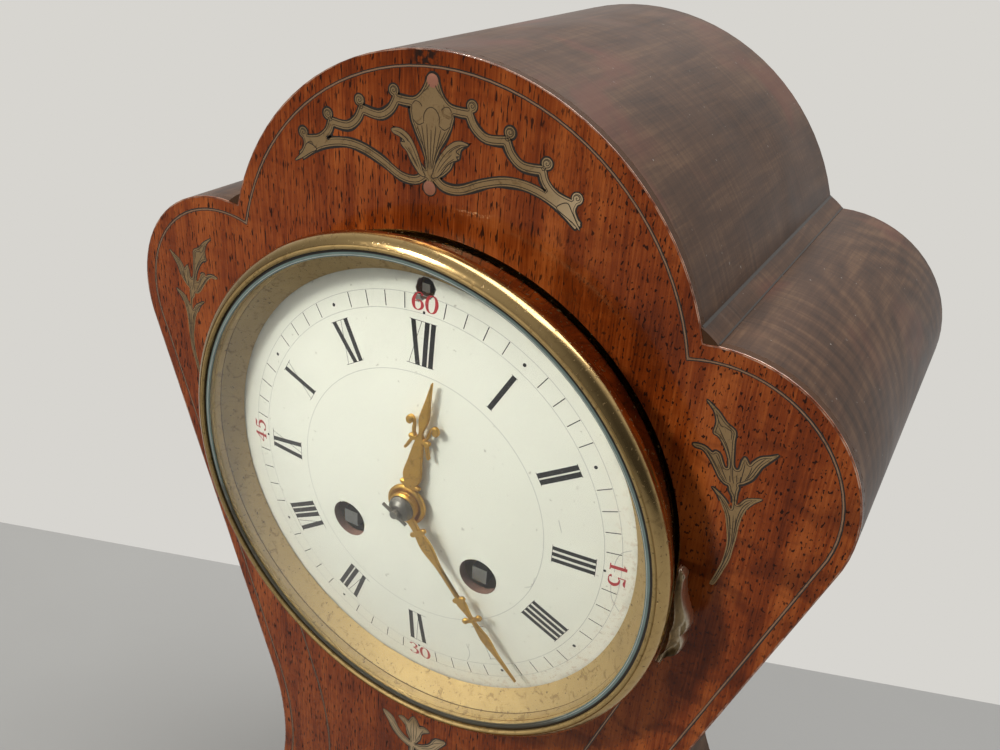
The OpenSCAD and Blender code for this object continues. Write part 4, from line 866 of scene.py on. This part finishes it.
# Red figures: brush paths with a width at each point, in a box 0.68 wide and 1 high
figures = {
    "0": [[(0.34, 1.0, 0.04), (0.14, 0.88, 0.12), (0.05, 0.5, 0.17), (0.14, 0.12, 0.12), (0.34, 0.0, 0.04),
        (0.54, 0.12, 0.12), (0.63, 0.5, 0.17), (0.54, 0.88, 0.12), (0.34, 1.0, 0.04)]],
    "1": [[(0.34, 0.0, 0.17), (0.34, 0.5, 0.17), (0.34, 1.0, 0.17)],
        [(0.34, 0.98, 0.05), (0.22, 0.86, 0.06), (0.12, 0.82, 0.04)],
        [(0.14, 0.02, 0.05), (0.34, 0.02, 0.06), (0.54, 0.02, 0.05)]],
    "3": [[(0.1, 0.84, 0.16), (0.16, 0.95, 0.07), (0.34, 1.0, 0.05), (0.53, 0.86, 0.13), (0.48, 0.66, 0.1),
        (0.28, 0.55, 0.04)],
        [(0.28, 0.55, 0.04), (0.52, 0.47, 0.11), (0.61, 0.26, 0.17), (0.48, 0.05, 0.1), (0.28, 0.0, 0.05),
        (0.12, 0.05, 0.07), (0.08, 0.16, 0.16)]],
    "4": [[(0.46, 1.0, 0.05), (0.26, 0.66, 0.05), (0.02, 0.3, 0.05)],
        [(0.02, 0.3, 0.06), (0.34, 0.3, 0.06), (0.68, 0.3, 0.06)],
        [(0.48, 1.0, 0.14), (0.48, 0.5, 0.16), (0.48, 0.0, 0.16)],
        [(0.3, 0.02, 0.05), (0.48, 0.02, 0.06), (0.66, 0.02, 0.05)]],
    "5": [[(0.14, 0.98, 0.04), (0.3, 0.93, 0.11), (0.46, 0.92, 0.12), (0.6, 0.98, 0.04)],
        [(0.15, 0.98, 0.05), (0.13, 0.76, 0.05), (0.11, 0.54, 0.05)],
        [(0.11, 0.54, 0.04), (0.28, 0.63, 0.07), (0.5, 0.56, 0.13), (0.61, 0.32, 0.17), (0.5, 0.07, 0.11),
        (0.28, 0.0, 0.05), (0.12, 0.05, 0.07), (0.08, 0.17, 0.16)]],
    "6": [[(0.57, 0.86, 0.14), (0.5, 0.97, 0.06), (0.34, 0.99, 0.05), (0.16, 0.82, 0.11), (0.06, 0.45, 0.18),
        (0.15, 0.1, 0.12), (0.34, 0.0, 0.05), (0.54, 0.1, 0.11), (0.61, 0.3, 0.16), (0.52, 0.5, 0.1),
        (0.34, 0.56, 0.04), (0.16, 0.44, 0.04)]],
}
figuresAt = [("60", 0, 40.55, False), ("15", 3, 41.1, False), ("30", 6, 40.4, True), ("45", 9, 41.1, False)]


def makeFigures():
    sheet = Sheet()
    size, stroke, apart, wide = [printLook[key] for key in ("digit", "digitStroke", "digitStep", "digitWide")]
    boxX, boxZ = 0.34, 0.5  # the middle of a figure's box
    for text, hour, v, inward in figuresAt:
        turn = -1 if inward else 1
        for order, c in enumerate(text):
            for path in figures[c]:
                line = smoothLine(path, 6)
                sides = bothSides([Vector((p.x, p.y)) for p in line], [p.z * stroke for p in line])
                sheet.grid([[printAt(turn * (p.x - boxX + (order - 0.5) * apart) * size * wide,
                    v + turn * (p.y - boxZ) * size, hour) for p in side] for side in sides])
    sheet.make("dialRedFigures", "red", "enamel")


cracks = [[(43.6, 6.6), (42.0, 5.4), (41.2, 3.2), (41.3, 1.0)], [(41.0, -2.0), (41.6, -5.0), (43.2, -7.4)],
    [(27.0, -6.5), (26.6, -8.6), (25.2, -9.6)], [(30.2, 8.0), (31.0, 5.6)],
    [(13.5, -36.0), (14.0, -33.6), (13.2, -31.2)]]


def makeCracks():
    sheet = Sheet()
    for path in cracks:
        line = smoothLine(path, 8)
        sides = bothSides(line, [printLook["crack"]] * len(line))
        sheet.grid([[onDial(*p, printLook["under"]) for p in side] for side in sides])
    sheet.make("enamelHairlines", "hair", "enamel")


makeNumerals()
makeTrack()
makeFigures()
makeCracks()
print("dial printed")

# Hands: flat shapes in (aside, along), cut from plate with a chamfered edge
hourHand = {"body": "hour", "node": "hour_hand", "angle": 8.6, "level": -8.1, "thick": 0.7, "chamfer": 0.16,
    "boss": (2.02, 4.2), "bend": 2.2, "long": 0.962,
    "blade": [(1.25, 2.6), (1.15, 4.0), (1.2, 5.0), (1.55, 5.7), (1.95, 6.9), (1.9, 8.3), (1.55, 10.4),
        (1.3, 12.4), (1.05, 14.2), (0.85, 15.4), (0.9, 16.4), (0.45, 17.2), (0.5, 18.2), (0.8, 19.4),
        (0.98, 20.8), (0.82, 22.4), (0.55, 24.4), (0.3, 26.6), (0.07, 28.6)],
    "scrolls": [
        [(0.4, 4.5), (1.6, 4.45), (2.2, 4.75), (2.25, 5.2), (1.8, 5.45), (0.4, 5.4)],
        [(0.2, 15.7), (1.2, 15.65), (1.9, 15.45), (2.35, 15.85), (2.2, 16.4), (1.6, 16.5), (0.9, 16.6),
            (0.2, 16.7)],
        [(0.8, 15.7), (1.35, 15.2), (1.75, 14.3), (2.15, 13.2), (2.5, 12.75), (2.85, 13.0), (2.5, 13.9),
            (2.15, 14.9), (1.7, 15.8), (1.1, 16.1)],
        [(0.7, 16.3), (1.25, 17.2), (1.45, 18.4), (1.75, 19.6), (2.45, 20.3), (3.2, 20.1), (3.6, 19.3),
            (3.3, 18.5), (2.6, 18.4), (2.2, 18.9), (2.3, 19.4), (2.0, 19.0), (1.95, 18.0), (1.7, 16.9),
            (1.2, 16.2)],
    ],
}
minuteHand = {"body": "minute", "node": "minute_hand", "angle": 142.8, "level": -9.3, "thick": 0.6,
    "chamfer": 0.14, "boss": (1.37, 3.0), "bend": 2.9, "long": 1.045,
    "blade": [(0.95, 2.0), (0.85, 3.6), (0.8, 5.0), (1.05, 6.2), (1.3, 7.6), (1.35, 8.9), (1.1, 10.4),
        (0.78, 11.8), (0.52, 13.4), (0.44, 16.0), (0.42, 19.2), (0.5, 20.1), (1.0, 21.0), (0.95, 22.0),
        (0.62, 23.2), (0.42, 24.4), (0.5, 25.2), (0.4, 26.0), (0.62, 27.4), (0.9, 29.0), (0.95, 30.0),
        (0.72, 31.8), (0.42, 34.0), (0.26, 37.0), (0.1, 40.3)],
    "scrolls": [
        [(0.3, 5.1), (1.2, 5.05), (1.8, 5.2), (2.05, 5.6), (1.8, 6.0), (1.2, 6.1), (0.3, 6.0)],
        [(0.2, 20.0), (1.0, 19.95), (1.5, 20.2), (1.45, 20.7), (1.0, 21.0), (0.2, 21.0)],
        [(0.2, 24.8), (1.1, 24.7), (1.7, 24.45), (2.3, 24.65), (2.45, 25.2), (2.05, 25.65), (1.3, 25.55),
            (0.2, 25.6)],
    ],
}
tipAt = 40  # where a hand's bend is measured


def plateShape(sheet, outline, look):  # a closed (aside, along) outline as a chamfered plate
    turn = math.radians(look["angle"])
    back, front = look["level"], look["level"] - look["thick"]
    inset = shifted(outline, -winding(outline) * look["chamfer"])

    def seat(p, y):
        along = p.y * look["long"]
        y += look["bend"] * (along / tipAt) ** 2
        return spot(p.x * math.cos(turn) + along * math.sin(turn), y, along * math.cos(turn) - p.x * math.sin(turn))

    rings = ((outline, back), (outline, front + look["chamfer"]), (inset, front))
    caps = [tuple(2 * len(outline) + i for i in cap) for cap in flatCaps(inset)]
    caps += [tuple(reversed(cap)) for cap in flatCaps(outline)]
    sheet.grid([[seat(p, y) for p in ring] for ring, y in rings], loop=True, caps=caps)


def turnedRing(sheet, profile, count=72):  # a closed (radius, y) section turned about the dial's axis
    sheet.grid([[spot(r * math.sin(a), y, r * math.cos(a)) for r, y in profile] for a in turns(count)], True, True)


def makeHand(name, look):
    def mirrored(line):
        return [Vector((-p.x, p.y)) for p in reversed(line)]

    sheet = Sheet()
    blade = smoothLine(look["blade"], 5)
    plateShape(sheet, blade + mirrored(blade), look)
    for half in look["scrolls"]:
        line = smoothLine(half, 4, True)
        plateShape(sheet, line, look)
        plateShape(sheet, mirrored(line), look)
    inner, outer = look["boss"]
    back, front = look["level"], look["level"] - look["thick"]
    mid = (inner + outer) / 2
    turnedRing(sheet, [(inner, back), (outer, back), (outer, front + 0.2), (outer - 0.25, front - 0.05),
        (mid + 0.5, front - 0.12), (mid + 0.2, front + 0.1), (mid - 0.2, front + 0.1), (mid - 0.4, front - 0.2),
        (inner + 0.2, front - 0.25), (inner, front - 0.1)])
    piece = sheet.make(name, "hand", "gilt", look["body"], 40)
    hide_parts(look["node"])


makeHand("hourHandPlate", hourHand)
makeHand("minuteHandPlate", minuteHand)
print("hands cut")

# Worn corner along the veneer's edge, its lighter colour also a painted highlight line: its width, and how far its
# section stands off the two faces
edgeLook = {"wide": (0.168, 0.308), "reach": 24, "pitch": 0.5, "lift": (0.015, 0.01), "proud": (0.012, 0.016),
    "within": 0.3}


def caseOutline():
    return max(frontLoops("front_facing"), key=lambda loop: max(p.y for p in loop) - min(p.y for p in loop))


def makeWornAndHighlitEdge():
    sheet = Sheet()
    line = evenLoop(caseOutline(), edgeLook["pitch"])
    (lift, low), (proud, far), within = edgeLook["lift"], edgeLook["proud"], edgeLook["within"]
    rows = []
    for i, w in enumerate(wander(len(line), *edgeLook["wide"], edgeLook["reach"], 5)):
        p, o = line[i], sideways(line, i, True)
        section = ((-w, -lift), (-within * w, -low), (proud, within * w), (far, w))
        rows.append([spot(p.x + o.x * aside, y, p.y + o.y * aside) for aside, y in section])
    sheet.grid(rows, ring=True, flip=True)
    sheet.make("veneerEdge", "edge", "veneer", smooth=80)


# Rings round the glass: finish, slot and section, from the inside of the retainer's bead
bead = 0.9  # half its thickness
glassRings = {
    # a near-black ring painted as the shadow in the gap between the bead and the glass
    "glassGapShadow": ("mastic", "brass", [(-0.52, 0.30), (-0.02, 0.30), (-0.02, -0.30), (-0.52, -0.36)]),
    # a pale ring painted as a highlight line on the glass's edge
    "glassGlint": ("glint", "glass", [(-1.08, -0.40), (-0.96, -0.40), (-0.98, -0.53), (-1.06, -0.53)]),
    "glassRim": ("rim", "glass", [(-1.30, 0.25), (-0.52, 0.30), (-0.52, -0.44), (-0.72, -0.50), (-1.10, -0.46),
        (-1.30, -0.36)]),
}
rebateLook = [(48.80, -7.20), (49.45, -9.55), (49.75, -9.55), (49.10, -7.20)]  # polished slope behind the glass


def makeGlassRim():
    low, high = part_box("glass_retainer")
    inner = (high.x - low.x) / 2 / mm - bead
    seat = (high.y - faceY) / mm
    rings = {name: (finish, slot, [(inner + r, seat + y) for r, y in profile])
        for name, (finish, slot, profile) in glassRings.items()}
    rings["bezelRebate"] = ("gilt", "brass", rebateLook)
    for name, (finish, slot, profile) in rings.items():
        sheet = Sheet()
        turnedRing(sheet, profile, 144)
        sheet.make(name, finish, slot, "bezel", 50)


def makeGlassDome(rows=20, count=96):  # the convex glass, drawn over the solid's own dome
    low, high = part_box("bezel_glass")
    rim = (high.x - low.x) / 2 / mm
    front = (low.y - faceY) / mm
    solid = [(math.hypot(v.co.x - dialX, v.co.z - dialZ) / mm, (v.co.y - faceY) / mm)
        for v in nodes["bezel_glass"].data.vertices]
    sag = min(y for r, y in solid if r > rim - 0.02) - front
    thick = min(y for r, y in solid if r < 1 and y > front + 0.5) - front
    outer = (rim ** 2 + sag ** 2) / (2 * sag)
    sheet = Sheet()
    for radius, y0, inside in ((outer, front, False), (outer - thick, front + thick, True)):
        steps = [rim * (j + 1) / rows for j in range(rows)]
        drops = [(r, y0 + radius - math.sqrt(radius ** 2 - r ** 2)) for r in steps]
        top = len(sheet.points)
        sheet.points.append(spot(0, y0, 0))
        for k in range(count):
            a, b = top + 1 + k, top + 1 + (k + 1) % count
            sheet.faces.append((top, a, b) if inside else (b, a, top))
        sheet.grid([[spot(r * math.sin(a), y, r * math.cos(a)) for a in turns(count)] for r, y in drops], True,
            flip=inside)
    a, b = 1 + (rows - 1) * count, 2 + (2 * rows - 1) * count  # the rims of both sides
    sheet.faces += [(a + k, a + (k + 1) % count, b + (k + 1) % count, b + k) for k in range(count)]
    piece = sheet.make("glassDome", "glass", "glass", "bezel", 60)
    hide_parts("bezel_glass")


# Cast leaf on the bezel's right: its two edges from the tip down, and how far its ribs stand up
leafLook = {"floor": -5.9, "rib": 2.2, "ribAt": (0.34, 0.13), "curl": 2.2, "curlAt": (0.90, 0.10), "ripple": 0.12,
    "thick": 1.3, "behind": -3.7, "tip": 7.95, "foot": -13.45, "rows": 60, "cols": 18, "tuck": 0.8,
    "fade": (0.25, 4, 5), "rippleAt": (5, 9)}
leafInner = [(53.22, 7.96), (53.1, 7.04), (53.15, 6.15), (53.33, 4.42), (53.47, 2.48), (53.49, 0.45),
    (53.49, -1.61), (53.49, -3.71), (53.39, -5.88), (53.22, -7.77), (53.05, -10.04), (52.83, -12.01),
    (52.54, -13.48)]
leafOuter = [(53.32, 7.96), (54.07, 7.45), (54.04, 6.58), (54.39, 4.97), (54.88, 3.22), (55.57, 1.57),
    (56.19, 0.2), (56.63, -1.45), (56.35, -2.95), (55.83, -3.88), (56.28, -6.02), (55.69, -8.26),
    (54.59, -9.08), (53.65, -10.21), (53.15, -11.56), (52.7, -13.48)]


def acrossAt(line, z):  # where a falling line passes a height
    for a, b in zip(line, line[1:]):
        if a.y >= z >= b.y and a.y > b.y:
            return a.x + (b.x - a.x) * (a.y - z) / (a.y - b.y)
    return line[-1].x


def hump(u, at, wide):
    return math.exp(-((u - at) / wide) ** 2)


def makeLeaf():
    inner, outer = smoothLine(leafInner, 6), smoothLine(leafOuter, 6)
    cols, rows, tip, foot = [leafLook[key] for key in ("cols", "rows", "tip", "foot")]
    (least, above, below), (down, over) = leafLook["fade"], leafLook["rippleAt"]
    front, back = [], []
    for j in range(rows + 1):
        front.append([])
        back.append([])
        z = tip + (foot - tip) * j / rows
        left, right = acrossAt(inner, z) - leafLook["tuck"], acrossAt(outer, z)
        fade = min(1, least + (tip - z) / above, least + (z - foot) / below)
        for k in range(cols + 1):
            u = k / cols
            x = left + (right - left) * u
            raised = leafLook["rib"] * hump(u, *leafLook["ribAt"]) + leafLook["curl"] * hump(u, *leafLook["curlAt"])
            y = leafLook["floor"] - fade * (raised + leafLook["ripple"] * math.sin(z * down + u * over))
            front[j].append(spot(x, y, z))
            back[j].append(spot(x, min(y + leafLook["thick"], leafLook["behind"]), z))
    sheet = Sheet()
    sheet.grid(front, flip=True)
    total = len(sheet.points)
    sheet.grid(back)
    wide = cols + 1
    rim = list(range(cols)) + [i * wide + cols for i in range(rows)]
    rim += [rows * wide + cols - k for k in range(cols)] + [(rows - i) * wide for i in range(rows)]
    sheet.faces += [(a, b, total + b, total + a) for a, b in zip(rim, rim[1:] + rim[:1])]
    piece = sheet.make("castLeaf", "leaf", "brass", "bezel", 70)
    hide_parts("thumb_piece")


# Flat slip glued into each valley between the arch and a shoulder
slipLook = {"wide": 2.4, "crown": 0.12, "clear": 0.05, "groove": (0.55, 0.30), "grooveLift": 0.06, "start": 0.12,
    "grooveStart": 0.6, "cornerAt": 0.1, "near": (30, 20), "inside": 58, "up": (0.5, 1.2), "across": 0.8}


def makeSlips():
    loop = evenLoop(caseOutline(), 0.25)
    high = (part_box("carcass")[1].y - faceY) / mm
    slips, corners, grooves = Sheet(), Sheet(), Sheet()
    (nearX, nearZ), (above, beside) = slipLook["near"], slipLook["up"]
    for side in (-1, 1):
        near = [p for p in loop if side * p.x > nearX and p.y > nearZ]
        valley = min([p for p in near if side * p.x < slipLook["inside"]], key=lambda p: p.x * side + p.y)

        def miss(p):
            return abs((p - valley).length - slipLook["wide"])

        up = min([p for p in near if p.y > valley.y + above and side * (p.x - valley.x) < beside], key=miss)
        across = min([p for p in near if side * (p.x - valley.x) > slipLook["across"] and p != up], key=miss)
        run = (across - up).normalized()
        out = Vector((run.y, -run.x))
        if out.dot(up - valley) < 0:
            out = -out

        def crowned(a, b, crown):
            bows = [crown * (1 - (k / 2 - 1) ** 2) + slipLook["clear"] for k in range(5)]
            return [a + (b - a) * (k / 4) + out * bow for k, bow in enumerate(bows)]

        def layAlong(sheet, row, start):
            depths = [start + (high - start) * j / 10 for j in range(11)]
            sheet.grid([[spot(p.x, y, p.y) for p in row] for y in depths], flip=side < 0)

        bridge = crowned(up, across, slipLook["crown"])
        layAlong(slips, bridge, slipLook["start"])
        first, second = slipLook["groove"]
        for a, wide in ((up - run * 0.1, first), (across - run * second, second)):
            a = a + out * slipLook["grooveLift"]
            layAlong(grooves, crowned(a, a + run * wide, 0.0), slipLook["grooveStart"])
        corner = ([valley] + bridge)[::-side]
        corners.ring([spot(p.x, slipLook["cornerAt"], p.y) for p in corner], [tuple(range(6))])
        slips.ring([spot(p.x, high, p.y) for p in reversed(corner)], [tuple(range(6))])
    corners.make("valleyCorners", "veneer", "veneer")
    grooves.make("valleyGrooves", "mastic", "side_wood")
    slips.make("valleySlips", "side", "side_wood", smooth=60)


makeWornAndHighlitEdge()
makeGlassRim()
makeGlassDome()
makeLeaf()
makeSlips()
print("edges, glass and leaf made")

springLook = {"rows": 24, "bendFrom": 7.5, "bendTo": 1.4}


def makeSuspension():  # a leaf of spring steel, made as a straight bar in rows; the real one flexes as the pendulum swings
    low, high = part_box("suspension_spring")
    sheet, count = Sheet(), springLook["rows"]
    around = ((low.x, low.y), (high.x, low.y), (high.x, high.y), (low.x, high.y))
    rows = [[Vector((x, y, low.z + (high.z - low.z) * i / count)) for x, y in around] for i in range(count + 1)]
    sheet.grid(rows, loop=True, caps=[(3, 2, 1, 0), tuple(range(4 * count, 4 * count + 4))])
    piece = sheet.make("suspensionLeaf", "steel", "steel", None)
    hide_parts("suspension_spring")
    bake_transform(piece)


makeSuspension()
print("suspension hung")

# Floor and light; the floor ends at the wall's line, given by two pixels of the frame
stageLook = {"floor": (0.29, 0.287, 0.278, 1), "floorCloud": (0.33, 0.33, 0.32, 1), "edge": ((0, 522), (1000, 705)),
    "aside": 2.0, "near": 3.0, "wall": (0.68, 0.665, 0.63, 1), "light": (1.0, 0.985, 0.96, 1),
    "room": (0.20, 0.36, 0.20), "dim": 0.75}
lampLook = {
    "keyLamp": {"at": (-480, -720, 620), "size": 0.13, "watts": 6.4, "colour": (1.0, 0.97, 0.92)},
    "topLamp": {"at": (150, 350, 950), "size": 0.9, "watts": 11, "colour": (1, 1, 1)},
}
lampAim = (0, 30, -10)


def floorHit(u, v):  # where a pixel of the frame meets the floor
    wide, high = view["frame"]
    focal = view["lens"] / view["sensor"] * wide
    way = cameraPose.to_3x3() @ Vector(((u - wide / 2) / focal, -(v - high / 2) / focal, -1))
    return cameraPose.translation + way * (-cameraPose.translation.z / way.z)


def makeStage():
    a, b = [floorHit(*pixel) for pixel in stageLook["edge"]]
    along = (b - a).normalized()
    near = Vector((along.y, -along.x, 0))
    if near.dot(cameraPose.translation - a) < 0:
        near = -near
    left, right = a - along * stageLook["aside"], b + along * stageLook["aside"]
    corners = [left, right, right + near * stageLook["near"], left + near * stageLook["near"]]
    mesh = bpy.data.meshes.new("floor")
    mesh.from_pydata([(c.x, c.y, 0) for c in corners], [], [(0, 1, 2, 3)])
    shade = newFinish("paleFloor")
    cloud = noise(shade.add("TexCoord", out=3), 6, 4, 1.0)
    mesh.materials.append(close(shade, {"Base Color": mix(cloud, stageLook["floor"], stageLook["floorCloud"]),
        "Roughness": 0.45 + cloud * 0.2}))
    floor = bpy.data.objects.new("floor", mesh)
    bpy.context.scene.collection.objects.link(floor)


def makeWorld():
    world = bpy.data.worlds.new("studio")
    bpy.context.scene.world = world
    world.use_nodes = True
    world.node_tree.nodes.clear()
    shade = Shade(world.node_tree)
    aside, back, up = split(shade.add("TexCoord"))
    floor, behind, above = stageLook["room"]
    level = floor + behind * step(back, -0.3, 0.6) + above * step(up, 0.0, 0.9)
    level = level * (1 - stageLook["dim"] * step(aside, 0.0, 0.7) * step(back, 0.3, -0.2))
    light = shade.add("Background", {}, {"Color": stageLook["light"], "Strength": level})
    wall = shade.add("Background", {}, {"Color": stageLook["wall"], "Strength": 1.0})
    seen = shade.add("LightPath", out=0)
    shade.add("OutputWorld", {}, {"Surface": shade.add("MixShader", {}, {0: seen, 1: light, 2: wall})})


def addLamps():
    for name, look in lampLook.items():
        data = bpy.data.lights.new(name, "AREA")
        data.energy = look["watts"]
        data.size = look["size"]
        data.color = look["colour"]
        lamp = bpy.data.objects.new(name, data)
        lamp.location = spot(*look["at"])
        lamp.rotation_euler = (spot(*lampAim) - lamp.location).to_track_quat("-Z", "Y").to_euler()
        bpy.context.scene.collection.objects.link(lamp)


makeStage()
makeWorld()
addLamps()
bpy.context.scene.view_settings.view_transform = "Standard"
print("stage lit")
